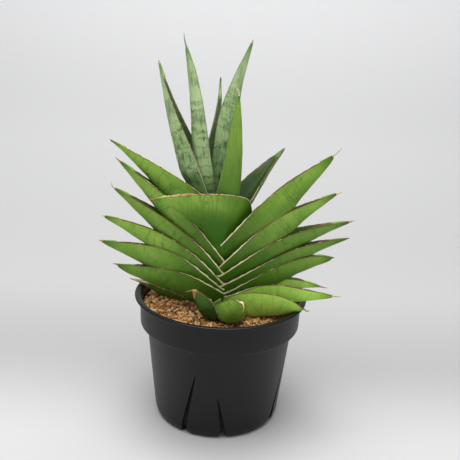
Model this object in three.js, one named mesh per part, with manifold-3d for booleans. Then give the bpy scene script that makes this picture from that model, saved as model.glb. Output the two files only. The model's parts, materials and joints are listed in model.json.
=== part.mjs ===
import * as THREE from 'three';
import { mergeVertices } from 'three/addons/utils/BufferGeometryUtils.js';
import Module from 'manifold-3d';

// A fan of boat-shaped succulent leaves standing in a black plastic slit pot.
// Millimetres, +Z up. The origin is the centre of the pot's underside, and the
// fan of leaves lies near the XZ plane, with its zigzag of leaf margins facing -Y.

// Driving dimensions of the pot
const POT_HEIGHT = 113;
const LIP_RADIUS = 75;
const LIP_THICKNESS = 2.2;
const BAND_RADIUS = 70.3;
const BAND_BOTTOM = 86;
const WALL_TOP_RADIUS = 64;
const WALL_BOTTOM_RADIUS = 54.8;
const WALL_THICKNESS = 1.9;
const FOOT_RADIUS = 51;
const FOOT_WIDTH = 6;
const FOOT_HEIGHT = 2.6;
const PAD_RADIUS = 9;
const POT_SIDES = 48;

// Driving dimensions of the slits in the pot's wall, which come in leaning pairs
const SLIT_PAIRS = 4;
const SLIT_WIDTH = 4;
const SLIT_TIP_WIDTH = 0.8;
const SLIT_FLARE = 5;
const SLITS = [
  { turn: -29, lean: 11, height: 52 },
  { turn: 8, lean: -7, height: 38 },
];

// Driving dimensions of the soil and the stem
const SOIL_LEVEL = 103;
const GRAIN_SPACING = 7.4;
const GRAIN_HEIGHT = 1.8;
const STEM_RADIUS = 9;
const STEM_TOP = 192;
const STEM_LEAN = 10;
const STEM_LEAN_FOOT = 125;
const STEM_FOOT = 62;
const STEM_SIDES = 12;
const CLEARANCE = 0.3;


// Driving dimensions that all leaves share
const MARGIN_THICKNESS = 0.9;
const FLANK_THICKNESS = 2.4;
const KEEL_THICKNESS = 4.2;
const SPINE_RADIUS = 0.6;
const LEAF_STATIONS = 11;
const STATION_CROWDING = 1.2;
const SECTION_POINTS = 7;
const HANDLE_SHARE = 0.36;
const NECK_SHARE = 0.25;
const UPRIGHT_SHARE = 0.3;
const CROWN_SLIMMING = 0.8;
const FAN_SLIMMING = 1.05;
const KEEL_SLIMMING = 1.15;
const SECTION_BOW = 2.3;
const TIP_BOW = 1.5;

// Where the leaves start that don't rise from the stem's upright foot, as [x, y]
const CROWN_CENTRE = [-STEM_LEAN, 0];
const BOWL_CENTRE = [-STEM_LEAN / 2, 0];
const SHOOT_CENTRE = [1, -27];

// Each leaf, from the innermost to the outermost. turn is its compass direction about
// its centre, counted from +X. Its margins start at the radius start and the height
// root, rise at the angle leave, and reach the tip at the radius reach and the height
// tip, at the angle arrive. half is its half width and keel its depth, both where it
// clasps the stem. stern is the share of its length along which a clasping base closes
// round the stem behind, and neck is how narrow a crown leaf is at its root. slimming
// is the power at which its width falls towards the tip.
const LEAVES = [
  { name: 'crown_leaf_3', turn: 80, start: -2, root: 191, reach: 13, tip: 296, leave: 120, arrive: 75,
    half: 4, keel: 8, neck: 0.6, centre: CROWN_CENTRE },
  { name: 'crown_leaf_2', turn: 160, start: 3, root: 193, reach: 30, tip: 332, leave: 100, arrive: 72,
    half: 6, keel: 18, neck: 0.5, centre: CROWN_CENTRE },
  { name: 'crown_leaf_4', turn: 20, start: 0, root: 192, reach: 28, tip: 328, leave: 100, arrive: 56,
    half: 8, keel: 24, neck: 0.6, centre: CROWN_CENTRE },
  { name: 'crown_leaf_1', turn: 170, start: 0, root: 193, reach: 49, tip: 308, leave: 73, arrive: 68,
    half: 10, keel: 18, neck: 0.6, centre: CROWN_CENTRE },
  { name: 'crown_leaf_5', turn: -25, start: 9, root: 190, reach: 19, tip: 287, leave: 78, arrive: 92,
    half: 12, keel: 11, neck: 0.8, centre: CROWN_CENTRE },
  { name: 'back_leaf', turn: 42, start: 5, root: 192, reach: 76, tip: 234, leave: 26, arrive: 34,
    half: 20, keel: 14, neck: 0.4, centre: BOWL_CENTRE },
  { name: 'front_leaf', turn: 222, start: -27, root: 196, reach: 75, tip: 209, leave: 24, arrive: 2,
    half: 31, keel: 39, stern: 0.2, centre: BOWL_CENTRE },
  { name: 'left_leaf_1', turn: 190, root: 172, reach: 94, tip: 246, leave: 66, arrive: 28,
    half: 18, keel: 26 },
  { name: 'right_leaf_1', turn: -8, start: -4, root: 156, reach: 93, tip: 246, leave: 55, arrive: 30,
    half: 17, keel: 24 },
  { name: 'left_leaf_2', turn: 186, root: 148, reach: 90, tip: 231, leave: 54, arrive: 37,
    half: 16, keel: 21 },
  { name: 'right_leaf_2', turn: -4, root: 141, reach: 98, tip: 210, leave: 52, arrive: 18,
    half: 16, keel: 24 },
  { name: 'left_leaf_3', turn: 184, root: 136, reach: 94, tip: 209, leave: 56, arrive: 34,
    half: 16, keel: 23 },
  { name: 'right_leaf_3', turn: 0, root: 134, reach: 109, tip: 183, leave: 38, arrive: 3,
    half: 17, keel: 22 },
  { name: 'left_leaf_4', turn: 182, root: 129, reach: 102, tip: 178, leave: 46, arrive: 2,
    half: 16, keel: 26 },
  { name: 'right_leaf_4', turn: 2, root: 126, reach: 110, tip: 166, leave: 25, arrive: 0,
    half: 16, keel: 23 },
  { name: 'left_leaf_5', turn: 181, root: 122, reach: 105, tip: 157, leave: 46, arrive: -5,
    half: 17, keel: 25 },
  { name: 'right_leaf_5', turn: 4, root: 120, reach: 98, tip: 147, leave: 19, arrive: -16,
    half: 17, keel: 22 },
  { name: 'left_leaf_6', turn: 184, root: 117, reach: 95, tip: 138, leave: 42, arrive: 8,
    half: 19, keel: 22 },
  { name: 'right_leaf_6', turn: 6, root: 115, reach: 93, tip: 121, leave: 19, arrive: -30,
    half: 14, keel: 18 },
  { name: 'right_leaf_7', turn: -12, root: 113, reach: 105, tip: 124, leave: 27, arrive: -8,
    half: 15, keel: 18 },
  { name: 'left_leaf_7', turn: 190, root: 111, reach: 81, tip: 130, leave: 18, arrive: 7,
    half: 20, keel: 15 },
  { name: 'right_leaf_8', turn: -27, root: 109, reach: 85, tip: 118, leave: 36, arrive: -6,
    half: 14, keel: 18 },
  { name: 'front_shoot_1', turn: 193, start: -4, root: 104, reach: 27, tip: 126, leave: 20, arrive: 50,
    half: 11, keel: 12, slimming: 0.7, centre: SHOOT_CENTRE },
  { name: 'front_shoot_2', turn: -56, start: -4, root: 112, reach: 25, tip: 119, leave: -15, arrive: 65,
    half: 14, keel: 18, slimming: 0.5, centre: SHOOT_CENTRE },
];

const wasm = await Module();
wasm.setup();

const skin = {
  leaf: { color: 0x5f9440, roughness: 0.5, metalness: 0 },
  banded: { color: 0x7fa865, roughness: 0.5, metalness: 0 },
  stem: { color: 0x8f9a5c, roughness: 0.7, metalness: 0 },
  soil: { color: 0xb08a56, roughness: 0.95, metalness: 0 },
  pot: { color: 0x2c2c2e, roughness: 0.55, metalness: 0 },
};

// A repeatable stream of numbers from 0 to 1
function randomStream(seed) {
  let state = seed;
  return () => {
    state = (state * 1664525 + 1013904223) % 4294967296;
    return state / 4294967296;
  };
}

function toSolid(geometry) {
  const plain = geometry.clone();
  plain.deleteAttribute('normal');
  plain.deleteAttribute('uv');
  const merged = mergeVertices(plain, 1e-4);
  return new wasm.Manifold(new wasm.Mesh({
    numProp: 3,
    vertProperties: new Float32Array(merged.attributes.position.array),
    triVerts: new Uint32Array(merged.index.array),
  }));
}

function toGeometry(solid) {
  const mesh = solid.getMesh();
  const geometry = new THREE.BufferGeometry();
  geometry.setAttribute('position', new THREE.BufferAttribute(mesh.vertProperties, 3));
  geometry.setIndex(new THREE.BufferAttribute(mesh.triVerts, 1));
  geometry.computeVertexNormals();
  return geometry;
}

function largestBody(solid) {
  return solid.decompose().sort((a, b) => b.volume() - a.volume())[0];
}

// A body of revolution about Z from a closed list of [radius, height] corners
function turned(corners, sides) {
  const points = corners.map(([radius, height]) => new THREE.Vector2(radius, height));
  points.push(points[0].clone());
  const geometry = new THREE.LatheGeometry(points, sides);
  geometry.rotateX(Math.PI / 2);
  return geometry;
}

function wallRadius(height) {
  const share = height / BAND_BOTTOM;
  return WALL_BOTTOM_RADIUS + (WALL_TOP_RADIUS - WALL_BOTTOM_RADIUS) * share;
}

function potBody() {
  const lipBottom = POT_HEIGHT - LIP_THICKNESS;
  const floor = FOOT_HEIGHT + WALL_THICKNESS;
  return toSolid(turned([
    [0, floor],
    [0, 0],
    [PAD_RADIUS, 0],
    [PAD_RADIUS + 1, FOOT_HEIGHT],
    [FOOT_RADIUS - FOOT_WIDTH, FOOT_HEIGHT],
    [FOOT_RADIUS - FOOT_WIDTH + 1.4, 0],
    [FOOT_RADIUS, 0],
    [FOOT_RADIUS + 2.6, 1.6],
    [wallRadius(5), 5],
    [wallRadius(BAND_BOTTOM), BAND_BOTTOM],
    [BAND_RADIUS - 1.5, BAND_BOTTOM],
    [BAND_RADIUS - 0.5, BAND_BOTTOM + 1.2],
    [BAND_RADIUS, lipBottom - 1.5],
    [BAND_RADIUS + 1.2, lipBottom],
    [LIP_RADIUS - 0.5, lipBottom],
    [LIP_RADIUS, lipBottom + 0.8],
    [LIP_RADIUS - 0.6, POT_HEIGHT],
    [BAND_RADIUS + 0.4, POT_HEIGHT],
    [BAND_RADIUS - WALL_THICKNESS, POT_HEIGHT - 1.6],
    [BAND_RADIUS - WALL_THICKNESS - 0.5, BAND_BOTTOM + WALL_THICKNESS],
    [wallRadius(BAND_BOTTOM) - WALL_THICKNESS, BAND_BOTTOM - 1],
    [wallRadius(floor + 2) - WALL_THICKNESS, floor + 2],
    [FOOT_RADIUS - 1, floor],
  ], POT_SIDES));
}

// A leaning wedge that cuts one slit, from below the foot up the wall. Its lower
// corner is rounded off on the side that it leans to.
function slitCutter({ turn, lean, height }) {
  const side = Math.sign(lean);
  const half = SLIT_WIDTH / 2;
  const tipHalf = SLIT_TIP_WIDTH / 2;
  const shift = wallRadius(height / 2) * THREE.MathUtils.degToRad(Math.abs(lean));
  const corner = SLIT_FLARE / height;
  const shape = new THREE.Shape();
  shape.moveTo(-half * side, -1);
  shape.lineTo((half + SLIT_FLARE) * side, -1);
  shape.quadraticCurveTo(half * side, 0, (half + shift * corner) * side, SLIT_FLARE);
  shape.lineTo((shift + tipHalf) * side, height);
  shape.lineTo((shift - tipHalf) * side, height);
  shape.closePath();
  const depth = 30;
  const geometry = new THREE.ExtrudeGeometry(shape, { depth, bevelEnabled: false, curveSegments: 4 });
  geometry.rotateX(Math.PI / 2);
  geometry.translate(0, -(wallRadius(height) + 4 - depth), 0);
  geometry.rotateZ(THREE.MathUtils.degToRad(turn));
  return toSolid(geometry);
}

function pot() {
  let body = potBody();
  for (let pair = 0; pair < SLIT_PAIRS; pair += 1) {
    for (const slit of SLITS) {
      const turn = slit.turn + (360 / SLIT_PAIRS) * pair;
      body = body.subtract(slitCutter({ ...slit, turn }));
    }
  }
  return body;
}

// The course of a leaf's margins: a curve in the upright plane that holds the leaf
function leafCourse({ start = CLEARANCE / 2, root, reach, tip, leave, arrive }) {
  const first = new THREE.Vector2(start, root);
  const end = new THREE.Vector2(reach, tip);
  const handle = first.distanceTo(end) * HANDLE_SHARE;
  const leaving = THREE.MathUtils.degToRad(leave);
  const arriving = THREE.MathUtils.degToRad(arrive);
  const second = new THREE.Vector2(Math.cos(leaving), Math.sin(leaving)).multiplyScalar(handle).add(first);
  const third = new THREE.Vector2(Math.cos(arriving), Math.sin(arriving)).multiplyScalar(-handle).add(end);
  return new THREE.CubicBezierCurve(first, second, third, end);
}

// How wide and how deep a leaf is at the share t of its length
function leafGirth({ half, keel, stern = 0, neck = 0, slimming }, t) {
  const closing = t < stern ? Math.sqrt(1 - (1 - t / stern) ** 2) : 1;
  const necking = neck ? THREE.MathUtils.lerp(neck, 1, THREE.MathUtils.smoothstep(t, 0, NECK_SHARE)) : 1;
  const power = slimming ?? (neck ? CROWN_SLIMMING : FAN_SLIMMING);
  const shape = closing * necking;
  return {
    width: half * (1 - t) ** power * shape + SPINE_RADIUS,
    depth: keel * (1 - t * t) ** KEEL_SLIMMING * shape + SPINE_RADIUS * 1.4,
  };
}

// The cross-section of a leaf at the share t of its length: a channel with a keel below.
// The points run along the outside from one margin to the other, and back along the
// inside, or straight across just above the margins where the channel is filled.
function leafSection(leaf, t, swell, filled) {
  const girth = leafGirth(leaf, t);
  const width = girth.width + swell;
  const depth = girth.depth + swell;
  const bow = THREE.MathUtils.lerp(SECTION_BOW, TIP_BOW, t);
  const margin = Math.min(MARGIN_THICKNESS, width * 0.5);
  const flank = Math.min(FLANK_THICKNESS, width * 0.6);
  const floor = Math.min(KEEL_THICKNESS, depth * 0.8);
  const outside = [];
  const inside = [];
  for (let i = 0; i < SECTION_POINTS; i += 1) {
    const share = -1 + (2 * i) / (SECTION_POINTS - 1);
    const drop = 1 - Math.abs(share) ** bow;
    outside.push([width * share, -depth * drop]);
    const wall = THREE.MathUtils.lerp(margin, flank, Math.min(1, (1 - Math.abs(share)) * 3));
    inside.push(filled ? [width * share, 1 + swell] : [(width - wall) * share, -(depth - floor) * drop]);
  }
  return { outside, inside };
}

function leafSolid(leaf, swell = 0, filled = false) {
  const course = leafCourse(leaf);
  const [centreX, centreY] = leaf.centre ?? [0, 0];
  const turn = THREE.MathUtils.degToRad(leaf.turn);
  const positions = [];
  for (let station = 0; station < LEAF_STATIONS; station += 1) {
    const t = 1 - (1 - station / (LEAF_STATIONS - 1)) ** STATION_CROWDING;
    const centre = course.getPoint(t);
    const along = course.getTangent(t);
    const upright = leaf.neck || leaf.stern ? 0 : 1 - THREE.MathUtils.smoothstep(t, 0, UPRIGHT_SHARE);
    const up = new THREE.Vector2(-along.y, along.x).lerp(new THREE.Vector2(0, 1), upright).normalize();
    const { outside, inside } = leafSection(leaf, t, swell, filled);
    for (const [across, rise] of [...outside, ...inside.reverse()]) {
      const radius = centre.x + up.x * rise;
      const height = centre.y + up.y * rise;
      positions.push(
        radius * Math.cos(turn) - across * Math.sin(turn) + centreX,
        radius * Math.sin(turn) + across * Math.cos(turn) + centreY,
        height,
      );
    }
  }
  const ring = SECTION_POINTS * 2;
  const indices = [];
  for (let station = 0; station < LEAF_STATIONS - 1; station += 1) {
    for (let i = 0; i < ring; i += 1) {
      const a = station * ring + i;
      const b = station * ring + ((i + 1) % ring);
      indices.push(a, b, b + ring, a, b + ring, a + ring);
    }
  }
  const last = (LEAF_STATIONS - 1) * ring;
  for (let i = 0; i < SECTION_POINTS - 1; i += 1) {
    const a = i;
    const b = i + 1;
    const c = ring - 2 - i;
    const d = ring - 1 - i;
    indices.push(a, d, c, a, c, b);
    indices.push(last + a, last + b, last + c, last + a, last + c, last + d);
  }
  const geometry = new THREE.BufferGeometry();
  geometry.setAttribute('position', new THREE.Float32BufferAttribute(positions, 3));
  geometry.setIndex(indices);
  return toSolid(geometry);
}

// The stem stands upright in the soil and leans to -X above STEM_LEAN_FOOT
function stemBody(spare) {
  const radius = STEM_RADIUS + spare;
  const top = STEM_TOP + spare;
  const foot = STEM_FOOT - spare;
  const corners = [[0, top], [0, foot], [radius * 0.6, foot], [radius, foot + 8]];
  for (let height = STEM_LEAN_FOOT; height < top - 10; height += 16) corners.push([radius, height]);
  corners.push([radius, top - 2], [radius - 2, top]);
  const geometry = turned(corners, STEM_SIDES);
  const { position } = geometry.attributes;
  for (let i = 0; i < position.count; i += 1) {
    const share = (position.getZ(i) - STEM_LEAN_FOOT) / (STEM_TOP - STEM_LEAN_FOOT);
    position.setX(i, position.getX(i) - STEM_LEAN * Math.max(0, share));
  }
  return toSolid(geometry);
}

// The soil's top: grains on a triangular grid, each a low six-sided heap with a crown
// of its own height
function soilTop(level) {
  const random = randomStream(7);
  const step = GRAIN_SPACING / Math.sqrt(3);
  const rows = Math.ceil((BAND_RADIUS * 2) / (step * 0.866)) + 2;
  const columns = Math.ceil((BAND_RADIUS * 2) / step) + 2;
  const positions = [];
  for (let row = 0; row < rows; row += 1) {
    for (let column = 0; column < columns; column += 1) {
      const crown = (column + (row % 2) * 2) % 3 === 0;
      const x = (column + (row % 2) / 2 - columns / 2) * step;
      const y = (row - rows / 2) * step * 0.866;
      const height = crown ? GRAIN_HEIGHT * (0.55 + 0.6 * random()) : -GRAIN_HEIGHT * 0.4 * random();
      positions.push(x + step * 0.3 * (random() - 0.5), y + step * 0.3 * (random() - 0.5), level + height);
    }
  }
  const top = rows * columns;
  for (let i = 0; i < top; i += 1) positions.push(positions[i * 3], positions[i * 3 + 1], level - 12);
  const indices = [];
  const at = (row, column) => row * columns + column;
  for (let row = 0; row < rows - 1; row += 1) {
    for (let column = 0; column < columns - 1; column += 1) {
      const a = at(row, column);
      const b = at(row, column + 1);
      const c = at(row + 1, column);
      const d = at(row + 1, column + 1);
      const faces = row % 2 === 0 ? [[a, b, c], [b, d, c]] : [[a, b, d], [a, d, c]];
      for (const [i, j, k] of faces) indices.push(i, j, k, top + i, top + k, top + j);
    }
  }
  const rim = [];
  for (let column = 0; column < columns - 1; column += 1) rim.push(at(0, column));
  for (let row = 0; row < rows - 1; row += 1) rim.push(at(row, columns - 1));
  for (let column = columns - 1; column > 0; column -= 1) rim.push(at(rows - 1, column));
  for (let row = rows - 1; row > 0; row -= 1) rim.push(at(row, 0));
  rim.forEach((a, i) => {
    const b = rim[(i + 1) % rim.length];
    indices.push(a, top + a, top + b, a, top + b, b);
  });
  const geometry = new THREE.BufferGeometry();
  geometry.setAttribute('position', new THREE.Float32BufferAttribute(positions, 3));
  geometry.setIndex(indices);
  return toSolid(geometry);
}

// The soil fills the pot up to SOIL_LEVEL, with a gap of CLEARANCE to its wall
function soil() {
  const floor = FOOT_HEIGHT + WALL_THICKNESS + CLEARANCE;
  const inset = WALL_THICKNESS + CLEARANCE;
  const filling = toSolid(turned([
    [0, SOIL_LEVEL + 4],
    [0, floor],
    [FOOT_RADIUS - 1.5, floor],
    [wallRadius(floor + 2) - inset, floor + 2],
    [wallRadius(BAND_BOTTOM) - inset, BAND_BOTTOM - 0.5],
    [BAND_RADIUS - inset - 0.6, BAND_BOTTOM + WALL_THICKNESS + CLEARANCE * 1.5],
    [BAND_RADIUS - inset - 0.2, SOIL_LEVEL + 4],
  ], POT_SIDES));
  const slab = toSolid(turned([
    [0, SOIL_LEVEL - 6],
    [0, 0],
    [LIP_RADIUS, 0],
    [LIP_RADIUS, SOIL_LEVEL - 6],
  ], 12));
  return slab.add(soilTop(SOIL_LEVEL)).intersect(filling);
}

const group = new THREE.Group();

function addPart(name, solid, finish) {
  const mesh = new THREE.Mesh(toGeometry(solid), new THREE.MeshStandardMaterial(skin[finish]));
  mesh.name = name;
  group.add(mesh);
}

const stemHole = stemBody(CLEARANCE);
const cleared = [];
LEAVES.forEach((leaf) => {
  let solid = leafSolid(leaf).subtract(stemHole);
  for (const inner of cleared) solid = solid.subtract(inner);
  cleared.push(leafSolid(leaf, CLEARANCE, true));
  addPart(leaf.name, largestBody(solid), leaf.name.startsWith('crown') ? 'banded' : 'leaf');
});
let bed = soil().subtract(stemHole);
for (const inner of cleared) bed = bed.subtract(inner);
addPart('soil', largestBody(bed), 'soil');
addPart('stem', stemBody(0), 'stem');
addPart('pot', pot(), 'pot');

export default group;
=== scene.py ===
import json
import logging
import math
from collections.abc import Callable
from dataclasses import dataclass
from enum import Enum

import bpy
import numpy as np
from mathutils import Matrix, Vector
from mathutils.bvhtree import BVHTree

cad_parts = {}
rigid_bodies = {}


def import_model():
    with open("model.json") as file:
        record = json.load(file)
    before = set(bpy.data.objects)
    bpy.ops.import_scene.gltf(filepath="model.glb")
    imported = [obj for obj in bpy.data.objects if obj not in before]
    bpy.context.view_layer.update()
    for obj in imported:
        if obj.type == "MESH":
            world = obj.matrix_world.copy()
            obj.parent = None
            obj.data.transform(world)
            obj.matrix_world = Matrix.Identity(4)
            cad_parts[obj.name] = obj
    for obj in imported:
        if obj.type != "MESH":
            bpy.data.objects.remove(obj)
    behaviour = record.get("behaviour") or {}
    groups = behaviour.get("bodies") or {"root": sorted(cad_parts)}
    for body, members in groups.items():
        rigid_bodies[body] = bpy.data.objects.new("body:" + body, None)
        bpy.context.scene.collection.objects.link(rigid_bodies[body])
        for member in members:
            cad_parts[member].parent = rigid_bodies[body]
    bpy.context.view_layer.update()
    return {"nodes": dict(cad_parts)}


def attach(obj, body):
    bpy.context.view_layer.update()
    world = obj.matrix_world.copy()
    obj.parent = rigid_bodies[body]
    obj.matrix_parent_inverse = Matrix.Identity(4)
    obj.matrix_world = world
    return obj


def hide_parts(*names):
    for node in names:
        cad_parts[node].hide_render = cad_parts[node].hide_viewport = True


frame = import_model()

# A fan of boat-shaped succulent leaves with a banded crown, in a black slit pot.
# The frame is in metres; the shapes below are given in millimetres and scaled by MM.
# The fan lies near the XZ plane, and the zigzag of its leaf margins faces -Y.

MM = 0.001
Colour = tuple[float, float, float]
Socket = bpy.types.NodeSocket
log = logging.getLogger("plant")

# Lengths of a leaf are in millimetres and angles in degrees. A share is one of its length,
# 0 at the stem and 1 at the tip.

# How many sections the blade, the wrapping base and the spine have, how the blade's crowd
# towards its tip, and how many points the outside or the inside and a fringe have
BLADE_STATIONS = 72
WRAP_STATIONS = 7
SPINE_STATIONS = 9
STATION_CROWDING = 1.15
SECTION_POINTS = 29
LIP_POINTS = 4

# The shares up to which a neck widens and sections stand upright, and those over which roll
# and fringe settle. The wrapping base closes over an angle, falls at most so steeply, and
# keeps so much of its fringe.
NECK_SHARE = 0.25
UPRIGHT_SHARE = 0.3
ROOT_SHARES = (0.03, 0.4)
WRAP_SWING = (14, 90)
WRAP_STEEPEST = 1.1
WRAP_LIP = 0.6

# How blunt a section is at the stem and at the tip, the ridge along its keel, and its walls.
# A wall takes at most its limit's share of the half width or the depth, and the flank's wall
# is whole a third of the way in from the margin.
SECTION_BOW = 2.3
TIP_BOW = 1.5
KEEL_RIDGE = 0.35
RIDGE_SPREAD = 0.07
MARGIN_THICKNESS = 0.6
MARGIN_LIMIT = 0.5
FLANK_THICKNESS = 2.4
FLANK_LIMIT = 0.6
FLANK_ONSET = 3
KEEL_THICKNESS = 4.2
KEEL_LIMIT = 0.8
LEAF_SHARP_ANGLE = 62

# The closed cone that a tip ends in, which fades out between two half widths: how much of the
# width its roof spans, how high that is, and how round. The spine on it starts so wide and so
# much deeper, and tapers to a point that is a share of that. A withered tip loses depth.
CONE_LENGTH = 12.0
CONE_BLEND = 6.0
CONE_HALF_WIDTHS = (2.5, 5.0)
CONE_FIT = 0.97
CONE_ROOF = 0.6
CONE_BOW = 0.8
SPINE_RADIUS = 0.75
SPINE_DEPTH = 1.4
SPINE_TAPER = 0.7
SPINE_FALL = 0.93
SPINE_POINT = 0.07
SPINE_SLACK = 0.01
WITHERED_FALL = 0.35

# The papery fringe: how high its points stand, as a share of its height, and how far in, in
# millimetres; how papery they look; the half width from which it leans in fully; its mean
# height, as a share of the leaf's lip; and its least height
FRINGE_PLACES = ((0.5, 0.1), (1.0, 0.18), (0.92, 0.4), (0.3, 0.55))
FRINGE_PAPER = (0.3, 1.0, 1.0, 0.3)
FRINGE_HALF_WIDTH = 4
FRINGE_HEIGHT = 0.85
THINNEST_FRINGE = 0.03

# The painted shade below the bend of a flank: the distances from the margin over which it sets in
# and over which it fades towards the keel, the shares over which it fades towards the tip, and
# how much of it is lost there
CREASE_ONSET = (7, 28)
CREASE_KEEL = (38, 55)
CREASE_KEEL_FADE = 0.35
CREASE_TIP = (0.45, 0.9)
CREASE_TIP_FADE = 0.6

# The first leaf's seed and the step to the next, and how seed and side shift the textures
FIRST_SEED = 11
SEED_STEP = 10
SEED_SHIFT = 1.37
SIDE_SHIFT = 0.7

# Where the crown's leaves start along X, in millimetres from the pot's axis
CROWN_AXIS = -10.0

# A rounding takes at most this share of each edge beside it
ROUNDING_LIMIT = 0.48

# The camera: where it aims, how far off and how high it stands, and how it leans
CAMERA_AIM = (5.5 * MM, 0.0, 170.6 * MM)
CAMERA_DISTANCE = 627 * MM
CAMERA_ELEVATION = 17.7
CAMERA_ROLL = 2.66
CAMERA_LENS = 57.4
CAMERA_REACH = 50


class Dry(Enum):
    """How the dry matter at a leaf's tip looks."""

    DARK = "dark"
    CREAM = "cream"
    RUSTY = "rusty"
    STRAW = "straw"
    MOSS = "moss"


class Edge(Enum):
    """The leaf margins of the plant."""

    BROWN = "brown"
    FRAYED = "frayed"
    SHEER = "sheer"


class Skin(Enum):
    """The leaf skins of the plant."""

    FAN = "fan"
    CROWN = "crown"
    YOUNG = "young"
    SHADY = "shady"
    FRESH = "fresh"


def smoothstep(value: np.ndarray | float, low: float, high: float) -> np.ndarray:
    """Rises smoothly from 0 at low to 1 at high.

    Args:
        value: Where to read the step.
        low: The value up to which it is 0.
        high: The value from which it is 1.

    Returns:
        The step at each value.
    """
    share = np.clip((np.asarray(value, dtype=float) - low) / (high - low), 0.0, 1.0)
    return share * share * (3.0 - 2.0 * share)


def ripple(where: np.ndarray, wavelength: float, seed: int) -> np.ndarray:
    """Gives a smooth, repeatable wander between about -1 and 1.

    Args:
        where: The distances at which to read it.
        wavelength: Its longest wave, in the same unit.
        seed: Picks one of many wanders.

    Returns:
        The wander at each distance.
    """
    rng = np.random.default_rng(seed)
    total = np.zeros_like(np.asarray(where, dtype=float))
    for octave, weight in enumerate((0.55, 0.3, 0.15)):
        phase = rng.uniform(0.0, 2.0 * math.pi)
        stretch = rng.uniform(0.85, 1.15) * 1.9**octave / wavelength
        total += weight * np.sin(2.0 * math.pi * stretch * where + phase)
    return total


@dataclass(frozen=True)
class Wander:
    """A small irregularity that every leaf has: its strength, its longest wave in millimetres,
    and what is added to the leaf's seed to pick it."""

    strength: float
    wavelength: float
    offset: int

    def at(self, where: np.ndarray, seed: int) -> np.ndarray:
        """Gives the wander at each distance, for the leaf with that seed."""
        return self.strength * ripple(where, self.wavelength, seed + self.offset)


HALF_WIDTH_WANDER = Wander(0.02, 26.0, 0)
DEPTH_WANDER = Wander(0.015, 31.0, 1)
FRINGE_WANDER = Wander(0.35, 9.0, 2)
SIDEWAYS_WANDER = Wander(0.8, 90.0, 3)
WITHERED_WANDER = Wander(0.3, 5.0, 4)
DENT_WANDER = Wander(0.012, 24.0, 5)
DENT_SPREAD = 40


class Shader:
    """Adds nodes to one tree and links them."""

    def __init__(self, tree: bpy.types.NodeTree) -> None:
        """Takes the tree to work in."""
        self.tree = tree

    def feed(self, socket: Socket, value: object) -> None:
        """Links a socket to another one, or sets it to a value.

        Args:
            socket: The input to feed.
            value: A socket, or what the input holds.
        """
        if isinstance(value, Socket):
            self.tree.links.new(value, socket)
        else:
            socket.default_value = value

    def node(self, kind: str, inputs: dict | None = None, **settings: object) -> bpy.types.Node:
        """Adds one node.

        Args:
            kind: Its type, without the prefix ShaderNode.
            inputs: What each of its inputs holds or is linked to.
            settings: Its own properties.

        Returns:
            The node.
        """
        made = self.tree.nodes.new(f"ShaderNode{kind}")
        for name, value in settings.items():
            setattr(made, name, value)
        for name, value in (inputs or {}).items():
            self.feed(made.inputs[name], value)
        return made

    def math(self, operation: str, first: object, second: object = 0.0, third: object = 0.0) -> Socket:
        """Adds a Math node.

        Args:
            operation: The name of what it does.
            first: Its first value.
            second: Its second value.
            third: Its third value.

        Returns:
            Its result.
        """
        return self.node("Math", {0: first, 1: second, 2: third}, operation=operation).outputs[0]

    def step(self, value: object, low: float, high: float) -> Socket:
        """Adds a smooth step from 0 at low to 1 at high, falling if low is the higher.

        Args:
            value: What is read.
            low: The value at which the step is 0.
            high: The value at which it is 1.

        Returns:
            The step.
        """
        inputs = {"Value": value, "From Min": low, "From Max": high}
        return self.node("MapRange", inputs, interpolation_type="SMOOTHSTEP").outputs["Result"]

    def blend(self, share: object, first: object, second: object, mode: str = "MIX") -> Socket:
        """Mixes two colours.

        Args:
            share: How much of the second shows.
            first: The colour at 0.
            second: The colour at 1.
            mode: How they are mixed.

        Returns:
            The mixed colour.
        """
        made = self.node("Mix", data_type="RGBA", blend_type=mode, clamp_factor=True)
        for index, value in ((0, share), (6, first), (7, second)):
            wide = (*value, 1.0) if isinstance(value, tuple) else value
            self.feed(made.inputs[index], wide)
        return made.outputs[2]

    def noise(self, where: object, scale: object = 1.0, detail: float = 2.0, rough: float = 0.55) -> Socket:
        """Adds a noise texture.

        Args:
            where: The coordinates that it reads.
            scale: How fine it is, in waves a unit.
            detail: How many finer waves it adds.
            rough: How strong they are.

        Returns:
            The noise, from 0 to 1 about 0.5.
        """
        inputs = {"Vector": where, "Scale": scale, "Detail": detail, "Roughness": rough}
        return self.node("TexNoise", inputs).outputs["Fac"]

    def streaks(self, where: object, across: object, along: object, depth: object = 1.0,
                detail: float = 2.0, rough: float = 0.55) -> Socket:
        """Adds a noise texture that is finer along some axes than along others.

        Args:
            where: The coordinates that it reads.
            across: Its waves a unit along X.
            along: Its waves a unit along Y.
            depth: Its waves a unit along Z.
            detail: How many finer waves it adds.
            rough: How strong they are.

        Returns:
            The noise, from 0 to 1 about 0.5.
        """
        factors = self.node("CombineXYZ", {"X": across, "Y": along, "Z": depth}).outputs[0]
        scaled = self.node("VectorMath", {0: where, 1: factors}, operation="MULTIPLY").outputs[0]
        return self.noise(scaled, detail=detail, rough=rough)

    def off_middle(self, noise: object) -> Socket:
        """Gives how far a noise is above or below its middle."""
        return self.math("SUBTRACT", noise, 0.5)

    def attribute(self, name: str, output: str = "Fac") -> Socket:
        """Reads an attribute of the mesh.

        Args:
            name: The attribute.
            output: Which of the node's outputs to give.

        Returns:
            That output.
        """
        return self.node("Attribute", attribute_name=name).outputs[output]

    def place(self) -> Socket:
        """Gives the object's own coordinates, in metres."""
        return self.node("TexCoord").outputs["Object"]


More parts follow.
